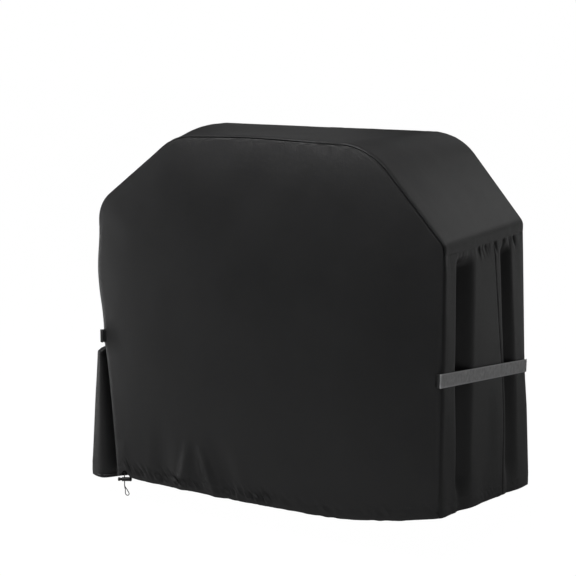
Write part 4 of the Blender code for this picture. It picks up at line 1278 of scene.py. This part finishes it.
def tapePiece(name, stack, flat, outward, thick, nodes):
    # a tape through a stack of lines
    columns, rows = np.arange(stack.shape[1]), np.arange(stack.shape[0])
    shape = gridShape(columns, rows, lambda c, r: stack[r, c], flat, outward)[0]
    thicken(newPiece(name, shape, tapeCloth, "cover", nodes), thick)


def casingPiece(name):
    spot, start, end, nodes, facing = hemRuns[name]
    places = hemPlaces(start, end, 0.005)
    stack = np.array([hemLine(spot, places, rise, inside) for inside, rise in casing["section"]])

    def flat(column, row):
        return np.stack([places[column], casing["flatStep"] * row], 1)

    tapePiece(name + "Tape", stack, flat, facing, casing["thick"], nodes)


for name in hemRuns:
    casingPiece(name)


def cordCurve(name, points, thick, nodes):
    # a round cord as one open spline
    curve = bpy.data.curves.new(name, "CURVE")
    curve.dimensions = "3D"
    curve.bevel_depth = thick / 2
    curve.bevel_resolution = 3
    curve.use_fill_caps = True
    spline = curve.splines.new("POLY")
    spline.points.add(len(points) - 1)
    for target, point in zip(spline.points, points):
        target.co = (*point, 1.0)
    spline.use_smooth = True
    curve.materials.append(cordBraid)
    piece = bpy.data.objects.new(name, curve)
    pieces.objects.link(piece)
    return settle(piece, "cover", nodes)


def cornerTurn(x, y, z, startAngle):
    # the cord's quarter turn inside a corner of the hem
    centreX = x - math.copysign(casing["cordTurnIn"], x)
    centreY = y - math.copysign(casing["cordTurnIn"], y)
    angles = startAngle + np.linspace(0, math.pi / 2, 7)
    radius = casing["cordTurn"]
    return np.stack([centreX + radius * np.cos(angles), centreY + radius * np.sin(angles), z + 0 * angles], 1)


def drawcordLine():
    parts = []
    cornerLift = float(frontLift(np.array(halfWidth)))
    corners = {
        "frontHemCasing": cornerTurn(halfWidth, frontY, cornerLift, -math.pi / 2),
        "rightHemCasing": cornerTurn(rightRear, backY, hang["rearDrop"], 0),
        "backHemCasing": cornerTurn(leftRear, backY, hang["rearDrop"], math.pi / 2),
        "leftHemCasing": cornerTurn(leftCorner, frontY, float(frontLift(np.array(leftCorner))), math.pi),
    }
    for name, (spot, start, end, nodes, facing) in hemRuns.items():
        parts.append(hemLine(spot, hemPlaces(start, end, 0.008), casing["cordRise"], casing["cordIn"]))
        if name in corners:
            corner = corners[name].copy()
            corner[:, 2] += casing["cordRise"] - cover["restHeight"]
            parts.append(corner)
    return np.concatenate(parts)


cordCurve("drawcordInHem", drawcordLine(), casing["cordThick"], ["drawcord"])
print("hem cased")


# free end of the drawcord: out of one mouth, through the lock, round the bight and back
lock = {
    "turn": 30.0,
    "setback": 0.0065,
    "shift": -0.006,
    "drop": 0.0095,
    "strandHalf": 0.00175,
    "mouthGap": 0.0008,
    "mouthRun": 0.004,
    "tailStraight": 0.030,
    "tail": 0.060,
    "swing": 0.010,
    "twist": 75.0,
    "bightHalf": 0.0062,
    "bightRise": 0.0085,
    "bightShoulder": 0.0033,
    "slotSize": (0.0077, 0.03),
    "slotRound": 0.0012,
    "sharpAngle": 38,
}
lockTurn = math.radians(lock["turn"])
lockX, lockY = hang["notchX"] + lock["shift"], frontY + lock["setback"]


def strandPoint(which, across, along, z, twist=0.0):
    shift = which * (lock["strandHalf"] + across)
    turn = lockTurn - twist * math.radians(lock["twist"])
    return np.array([lockX + along * math.cos(lockTurn) - shift * math.sin(turn),
                     lockY + along * math.sin(lockTurn) + shift * math.cos(turn), z])


def mouthRoute(which):
    def mouthPoint(away):
        x = hang["notchX"] - which * away
        return np.array([x, frontY + casing["mouthIn"], float(frontLift(np.array(x))) + casing["cordRise"]])
    end = mouthPoint(casing["mouth"])
    out = end - mouthPoint(hang["notchHalf"] * 2 / 3)
    out /= np.linalg.norm(out)
    first, rise = end + lock["mouthGap"] * out, end + lock["mouthRun"] * out
    down = strandPoint(which, 0, 0, rise[2])
    crest = mix(rise, down, 0.55) + [0, 0, 0.3 * lock["mouthRun"]]
    fall = mix(rise, down, 0.95) - [0, 0, lock["mouthRun"]]
    return [first, rise, crest, fall, down - [0, 0, 3 * lock["mouthRun"]]]


def loopSide(which):
    drop, straight = lock["drop"], lock["tailStraight"]
    heights = [-drop + 0.5 * straight, -drop, -drop - 0.5 * straight, -drop - 0.8 * straight]
    low, wide = -drop - lock["tail"], lock["bightHalf"] - lock["strandHalf"]
    curl = [(0.04 * wide, 0.15, -drop - straight, 0.25),
            (0.3 * wide, 0.50, -drop - straight - lock["bightRise"], 0.75),
            (wide, 0.85, low + lock["bightRise"], 1.0),
            (lock["bightHalf"] - lock["bightShoulder"], 1.0, low + 0.25 * lock["bightRise"], 1.0)]
    bight = [strandPoint(which, across, share * lock["swing"], z, twist) for across, share, z, twist in curl]
    return mouthRoute(which) + [strandPoint(which, 0, 0, z) for z in heights] + bight


lowest = strandPoint(1, -lock["strandHalf"], lock["swing"], -lock["drop"] - lock["tail"])
loopLine = smoothRoute(loopSide(-1) + [lowest] + loopSide(1)[::-1], 6) - [0, 0, cover["restHeight"]]
loopPiece = cordCurve("drawcordFreeEnd", loopLine, casing["cordThick"], ["drawcord_loop"])


# cord lock: (along, radius) profiles spun round its axis
lockBarrel = {
    "profile": [(0.0260, 0), (0.0260, 0.0044), (0.0257, 0.0057), (0.0249, 0.0069), (0.0238, 0.0076),
                (0.0224, 0.0080), (0.0206, 0.0080), (0.0194, 0.0077), (0.0182, 0.00745), (0.0160, 0.0073),
                (-0.0046, 0.0073), (-0.0054, 0.0076), (-0.0064, 0.0078), (-0.0076, 0.0077),
                (-0.0085, 0.0072), (-0.0090, 0.0064), (-0.0090, 0.0057), (-0.0086, 0.0053),
                (0.0230, 0.0053), (0.0230, 0)],
    "slot": (-0.0021, 0.0021),
}
lockPlunger = {
    "profile": [(0.0090, 0), (0.0090, 0.0045), (0.0085, 0.0050), (-0.0146, 0.0050), (-0.0150, 0.0053),
                (-0.0150, 0.0058), (-0.0154, 0.0064), (-0.0162, 0.0066), (-0.0174, 0.0066), (-0.0180, 0.0061),
                (-0.0186, 0.0061), (-0.0192, 0.0066), (-0.0208, 0.0066), (-0.0220, 0.0062), (-0.0228, 0.0052),
                (-0.0230, 0.0040), (-0.0227, 0.0020), (-0.0226, 0)],
    "slot": (-0.0061, 0.0021),
}
lockCentre = (lockX, lockY, -lock["drop"] - cover["restHeight"])
lockPlace = Matrix.Translation(lockCentre) @ Matrix.Rotation(lockTurn, 4, "Z")


def spunPiece(name, size, body, nodes):
    shape = bmesh.new()
    corners = [shape.verts.new((along, 0, radius)) for along, radius in size["profile"]]
    edges = [shape.edges.new(pair) for pair in zip(corners, corners[1:])]
    bmesh.ops.spin(shape, geom=corners + edges, cent=(0, 0, 0), axis=(1, 0, 0), angle=2 * math.pi, steps=48,
                   use_merge=True)
    bmesh.ops.remove_doubles(shape, verts=shape.verts, dist=weldWithin)
    bmesh.ops.recalc_face_normals(shape, faces=shape.faces)
    whole = bpy.data.objects.new(name + "Whole", meshOf(name + "Whole", shape))
    block = bmesh.new()
    low, high = size["slot"]
    bmesh.ops.create_cube(block, size=1.0)
    bmesh.ops.scale(block, vec=(high - low, *lock["slotSize"]), verts=block.verts)
    bmesh.ops.translate(block, vec=((low + high) / 2, 0, 0), verts=block.verts)
    corner = [edge for edge in block.edges if abs((edge.verts[0].co - edge.verts[1].co).z) > 0.01]
    roundEdges(block, corner, lock["slotRound"], 3)
    cutter = bpy.data.objects.new(name + "Slot", meshOf(name + "Slot", block))
    for item in (whole, cutter):
        bpy.context.scene.collection.objects.link(item)
    cut = whole.modifiers.new("cordSlot", "BOOLEAN")
    cut.operation = "DIFFERENCE"
    cut.object = cutter
    bpy.context.view_layer.update()
    finished = bpy.data.meshes.new_from_object(whole.evaluated_get(bpy.context.evaluated_depsgraph_get()))
    for item in (whole, cutter):
        bpy.data.objects.remove(item, do_unlink=True)
    finished.name = name
    finished.transform(lockPlace)
    finished.materials.clear()
    finished.materials.append(mouldedPlastic)
    finished.shade_smooth()
    finished.set_sharp_from_angle(angle=math.radians(lock["sharpAngle"]))
    piece = bpy.data.objects.new(name, finished)
    pieces.objects.link(piece)
    return settle(piece, body, nodes)


barrelPiece = spunPiece("lockBarrel", lockBarrel, "cord_lock", ["cord_lock_barrel"])
plungerPiece = spunPiece("lockPlunger", lockPlunger, "lock_plunger", ["cord_lock_plunger"])
lockSpring = {"wire": 0.0007, "sides": 8, "radius": 0.0041, "start": 0.00965, "run": 0.0127, "turns": 6,
              "steps": 22}


def springPiece():
    shape = bmesh.new()
    sides = lockSpring["sides"]
    ring = bmesh.ops.create_circle(shape, segments=sides, radius=lockSpring["wire"] / 2)["verts"]
    bmesh.ops.translate(shape, vec=(lockSpring["start"], lockSpring["radius"], 0), verts=ring)
    steps = lockSpring["turns"] * lockSpring["steps"]
    bmesh.ops.spin(shape, geom=list(shape.verts) + list(shape.edges), cent=(0, 0, 0), axis=(1, 0, 0),
                   dvec=(lockSpring["run"] / steps, 0, 0), angle=2 * math.pi * lockSpring["turns"],
                   steps=steps)
    bmesh.ops.remove_doubles(shape, verts=shape.verts, dist=weldWithin)
    bmesh.ops.holes_fill(shape, edges=shape.edges, sides=sides)
    bmesh.ops.recalc_face_normals(shape, faces=shape.faces)
    bmesh.ops.transform(shape, matrix=lockPlace, verts=shape.verts)
    piece = newPiece("lockSpring", shape, springSteel, "cord_lock", ["cord_lock_spring"])
    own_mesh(piece)
    return piece


springInLock = springPiece()
print("cord lock made")


# tapes over the seam allowances inside the cover: (in from the neighbour's face, in from this face)
binding = {
    "thick": 0.0007,
    "front": [(0.0190, 0.0080), (0.0145, 0.0086), (0.0112, 0.0106), (0.0104, 0.0166), (0.0066, 0.0178),
              (0.0040, 0.0196), (0.0026, 0.0225)],
    "rear": [(0.0175, 0.0022), (0.0135, 0.0028), (0.0112, 0.0050), (0.0106, 0.0098), (0.0064, 0.0112),
             (0.0050, 0.0132), (0.0042, 0.0170)],
    "flatSection": [(-0.0090, 0.0014), (-0.0050, 0.0016), (-0.0022, 0.0030), (0.0, 0.0079), (0.0022, 0.0030),
                    (0.0050, 0.0016), (0.0090, 0.0014)],
    "cornerStart": 0.003,     # how far below the top of the hem the tapes start
    "sideStart": 0.005,
    "clear": 0.013,
    "flatStep": (0.01, 0.005),
}


def bindingPiece(name, lines, outward, node):
    def flat(column, row):
        return np.stack([binding["flatStep"][0] * column, binding["flatStep"][1] * row], 1)

    tapePiece(name, np.array(lines), flat, outward, binding["thick"], [node])


def cornerBinding(back):
    name, y, into = ("rear", backY, -1) if back else ("front", frontY, 1)
    keep = outlines[back][0][:, 1] >= hang["hemZone"] - binding["cornerStart"]
    lines = []
    for inPlane, inDepth in binding[name]:
        line = insetOutline(back, inPlane)[keep]
        z = faceLevel(back, line[:, 0], line[:, 1])
        lines.append(np.stack([line[:, 0], np.full(len(line), y + into * inDepth), z], 1))
    bindingPiece(name + "SeamTape", lines, (0, -into, 0), name + "_seam_binding")


def sideBindings(side):
    # over the shoulder seam and the seam that runs down the side
    sign = shoulders[side]["sign"]
    y = np.linspace(frontY + binding["clear"], backY - binding["clear"], 130)
    seamRows = np.linspace(hang["hemZone"] - binding["sideStart"], shoulderSeam - hang["seamStep"], 170)
    across, upright = [], []
    for offset, inside in binding["flatSection"]:
        if offset < 0:
            points = sideSpot(side, y, np.full(len(y), shoulderSeam + offset))
        else:
            start = max(offset, cover["cornerHalfGap"])
            points = topSpot(np.full(len(y), start if side == "right" else topLength - start), y)
        points[:, 0] -= sign * inside
        across.append(points)
        points = sideSpot(side, sideSeam(seamRows) + offset, seamRows)
        points[:, 0] -= sign * (inside - (cover["flatSeamDeep"] if offset == 0 else 0))
        upright.append(points)
    bindingPiece(side + "ShoulderSeamTape", across, (sign, 0, 0), side + "_shoulder_seam_binding")
    bindingPiece(side + "SideSeamTape", upright, (sign, 0, 0), side + "_side_seam_binding")


cornerBinding(False)
cornerBinding(True)
for side in shoulders:
    sideBindings(side)
print("seams taped")


# stitching, one small spindle of thread to each stitch
stitch = {
    "pitch": 0.0052,
    "long": 0.0036,
    "thick": 0.0005,
    "fromFront": 0.0145,      # lines of stitches in from the front and back faces
    "fromBack": 0.0115,
    "fromSeam": 0.006,        # and beside a flat seam
    "clear": 0.012,
    "strapClear": 0.004,
    "strapGap": 0.0001,
    "rootLines": (0.0025, 0.0095),
    "strapLines": (3, 20, 24),        # steps of the strap's plan before its end
}


def surfaceLine(spot, first, second):
    # points on a panel with the panel's own direction outwards
    step = 0.0008     # to a neighbouring point
    here = spot(first, second)
    normal = np.cross(spot(first + step, second) - here, spot(first, second + step) - here)
    return here, unit(normal)


def sew(shape, line, normals, outward, gap=0.0):
    # one line of stitches, made apart from the others and then added to them
    part = bmesh.new()
    normals = normals * np.sign((normals * outward).sum(1))[:, None]
    walked = walkAlong(line)
    for middle in np.arange(stitch["pitch"], walked[-1] - stitch["pitch"] / 2, stitch["pitch"]):
        ends = (-0.5 * stitch["long"], 0, 0.5 * stitch["long"])
        before, here, after = (np.array([np.interp(middle + end, walked, line[:, axis]) for axis in range(3)])
                               for end in ends)
        up = Vector([np.interp(middle, walked, normals[:, axis]) for axis in range(3)]).normalized()
        run = Vector(after - before).normalized()
        side = up.cross(run).normalized()
        up = run.cross(side)
        half = stitch["thick"] / 2
        turn = Matrix((run * stitch["long"] / 2, side * half, up * half)).transposed().to_4x4()
        place = Matrix.Translation(Vector(here) + up * gap) @ turn
        bmesh.ops.create_icosphere(part, subdivisions=1, radius=1.0, matrix=place)
    sewn = meshOf("sewnLine", part)
    shape.from_mesh(sewn)
    bpy.data.meshes.remove(sewn)


def seamStitches():
    shape = bmesh.new()
    beside = (frontY + stitch["fromFront"], backY - stitch["fromBack"])
    apart, clear = stitch["fromSeam"], stitch["clear"]
    # along the top beside the front and rear seams
    for place in beside:
        along = np.linspace(clear, topLength - clear, 700)
        sew(shape, *surfaceLine(topSpot, along, np.full(len(along), place)), np.array([0, 0, 1.0]))
    for side in shoulders:
        outward = np.array([shoulders[side]["sign"], 0, 0.01])
        rows = np.linspace(0.040, shoulderSeam - 0.010, 400)
        for place in beside:
            sew(shape, *surfaceLine(onSide(side), np.full(len(rows), place), rows), outward)
        for offset in (-apart, apart):
            sew(shape, *surfaceLine(onSide(side), sideSeam(rows) + offset, rows), outward)
        y = np.linspace(frontY + clear, backY - clear, 330)
        sew(shape, *surfaceLine(onSide(side), y, np.full(len(y), shoulderSeam - apart)), outward)
        above = np.full(len(y), apart if side == "right" else topLength - apart)
        sew(shape, *surfaceLine(topSpot, above, y), outward)
    for spot, start, end, nodes, facing in hemRuns.values():
        places = hemPlaces(start, end, 0.002, 8)
        line, normals = surfaceLine(spot, places, np.full(len(places), casing["stitchRise"]))
        sew(shape, line, normals, np.array(facing, float))
    newPiece("seamStitches", shape, sewingThread, "cover")


def strapStitches(side):
    # rows across the strap's front end, and round its sewn root
    sign = shoulders[side]["sign"]
    plan = strapPlan(side)
    half = strapHalf - stitch["strapClear"]
    rise = np.linspace(-half, half, 40)

    def sewAcross(shape, x, y, level, facing):
        line = np.stack([x + 0 * rise, y + 0 * rise, level + rise], 1)
        sew(shape, line, np.tile(facing, (len(rise), 1)), facing, stitch["strapGap"])

    ahead, aside = np.array([0.0, -1, 0]), np.array([sign, 0.0, 0])
    front = bmesh.new()
    for order, before in enumerate(stitch["strapLines"]):
        x, y = plan[len(plan) - before]
        level = strapLevel(max(y, frontY)) - cover["restHeight"]
        sewAcross(front, sign * x, y, level, aside if order else ahead)
    newPiece(side + "StrapStitches", front, greyThread, side + "_strap")
    root = bmesh.new()
    for before in stitch["rootLines"]:
        sewAcross(root, sign * rootReach(side), backY - before, rootLevel, aside)
    newPiece(side + "StrapRootStitches", root, greyThread, "cover")


seamStitches()
for side in shoulders:
    strapStitches(side)
print("stitched")


# camera where the photograph was taken from
view = {"azimuth": 30.523, "elevation": 10.252, "lens": 90.0, "sensor": 36.0,
        "place": (2.43586, -4.26900, 0.35343)}
cameraData = bpy.data.cameras.new("photoCamera")
cameraData.lens = view["lens"]
cameraData.sensor_width = view["sensor"]
camera = bpy.data.objects.new("photoCamera", cameraData)
turnAround, tilt = math.radians(view["azimuth"]), math.radians(view["elevation"])
level = math.cos(tilt)
lookBack = Vector((math.sin(turnAround) * level, -math.cos(turnAround) * level, math.sin(tilt)))
camera.location = view["place"]
camera.rotation_euler = lookBack.to_track_quat("Z", "Y").to_euler()
bpy.context.scene.collection.objects.link(camera)
bpy.context.scene.camera = camera


# pale floor and soft studio light
studio = {"floorSize": 30, "floorLevel": -1.32, "floorGrey": 0.55, "floorGlow": 1.04, "floorShare": 0.96,
          "floorRough": 0.9, "worldGrey": 0.018}


def grey(value):
    return (value, value, value, 1)


def blendInto(tree, share, first, second, output):
    # two shaders mixed into the output
    blend = tree.nodes.new("ShaderNodeMixShader")
    for source, socket in zip((share, first, second), blend.inputs):
        tree.links.new(source, socket)
    tree.links.new(blend.outputs["Shader"], tree.nodes[output].inputs["Surface"])


def floorPiece():
    shape = bmesh.new()
    bmesh.ops.create_grid(shape, x_segments=2, y_segments=2, size=studio["floorSize"])
    bmesh.ops.translate(shape, vec=(0, 0, studio["floorLevel"]), verts=shape.verts)
    mesh = meshOf("studioFloor", shape)
    floor = bpy.data.objects.new("studioFloor", mesh)
    material = bpy.data.materials.new("paleFloor")
    tree, shader = nodesOf(material)
    shader.inputs["Base Color"].default_value = grey(studio["floorGrey"])
    shader.inputs["Roughness"].default_value = studio["floorRough"]
    shader.inputs["Specular IOR Level"].default_value = 0.0
    glow = addNode(tree, "ShaderNodeEmission", Strength=studio["floorGlow"], Color=grey(1))
    seen = tree.nodes.new("ShaderNodeLightPath")
    share = mathNode(tree, "MULTIPLY", seen.outputs["Is Camera Ray"], studio["floorShare"])
    blendInto(tree, share, shader.outputs["BSDF"], glow.outputs["Emission"], "Material Output")
    mesh.materials.append(material)
    bpy.context.scene.collection.objects.link(floor)


def softLight(name, place, aim, size, power):
    data = bpy.data.lights.new(name, "AREA")
    data.shape = "RECTANGLE"
    data.size, data.size_y = size
    data.energy = power
    lamp = bpy.data.objects.new(name, data)
    lamp.location = place
    lamp.rotation_euler = (Vector(place) - Vector(aim)).to_track_quat("Z", "Y").to_euler()
    lamp.visible_camera = False
    bpy.context.scene.collection.objects.link(lamp)


def studioWorld():
    world = bpy.data.worlds.new("studioWorld")
    bpy.context.scene.world = world
    world.use_nodes = True
    tree = world.node_tree
    back = tree.nodes["Background"]
    back.inputs["Color"].default_value = grey(studio["worldGrey"])
    white = addNode(tree, "ShaderNodeBackground", Strength=1.0, Color=grey(1))
    seen = tree.nodes.new("ShaderNodeLightPath").outputs["Is Camera Ray"]
    blendInto(tree, seen, back.outputs["Background"], white.outputs["Background"], "World Output")


floorPiece()
studioWorld()
# lights: place, aim, size, power
lights = {
    "topSoftbox": ((-0.2, -0.4, 2.4), (-0.1, 0, -0.2), (2.6, 1.2), 54),
    "topStrip": ((-0.1, -1.4, 0.9), (-0.1, -0.33, -0.05), (1.6, 0.3), 16),
    "topLeftStrip": ((-0.9, -1.2, 0.6), (-0.3, -0.33, -0.1), (0.8, 0.3), 2.7),
    "leftFrontStrip": ((-1.9, -0.95, -0.6), (-0.6, -0.33, -0.6), (0.3, 1.2), 1.4),
    "leftStrip": ((-2.2, -0.5, -0.6), (-0.6, -0.33, -0.6), (0.4, 1.2), 5.6),
    "lowLeftStrip": ((-2.0, -0.9, -1.1), (-0.66, -0.33, -1.05), (0.3, 0.5), 0.7),
    "rightFrontStrip": ((1.2, -2.2, -0.95), (0.63, -0.33, -0.6), (0.4, 1.0), 2.0),
    "lowStrip": ((-1.1, -1.9, -1.28), (-0.1, -0.33, -0.9), (1.6, 0.3), 1.4),
    "rightRearSoftbox": ((2.2, 4.4, 1.3), (0.6, 0, -0.4), (0.8, 2.0), 2.6),
    "rightRearStrip": ((1.6, 1.5, -0.6), (0.66, 0.2, -0.6), (0.3, 1.2), 0.9),
    "rightRearBeam": ((1.15, 2.2, -0.6), (0.66, 0.2, -0.6), (0.2, 1.2), 0.8),
    "rearStrip": ((0.2, 2.8, 1.1), (0.1, 0.2, 0), (1.6, 0.4), 1.6),
    "backStrip": ((-0.8, 2.6, -1.0), (-0.2, 0.33, -0.6), (1.8, 0.5), 3.0),
    "rightLowStrip": ((2.8, -0.1, -1.05), (0.66, 0, -0.6), (1.4, 0.4), 0.35),
    "rearLeftStrip": ((-1.5, 2.5, 0.6), (-0.3, 0.2, 0), (0.8, 0.4), 0.36),
    "slopeLight": ((1.05, 1.25, 0.36), (0.5, 0.25, -0.15), (0.5, 0.5), 1.2),
    "rightStrip": ((1.8, -1.0, -0.6), (0.66, -0.3, -0.6), (0.3, 1.2), 0.6),
}
for name, (place, aim, size, power) in lights.items():
    softLight(name, place, aim, size, power)
bpy.context.scene.view_settings.view_transform = "Standard"
print("studio lit")
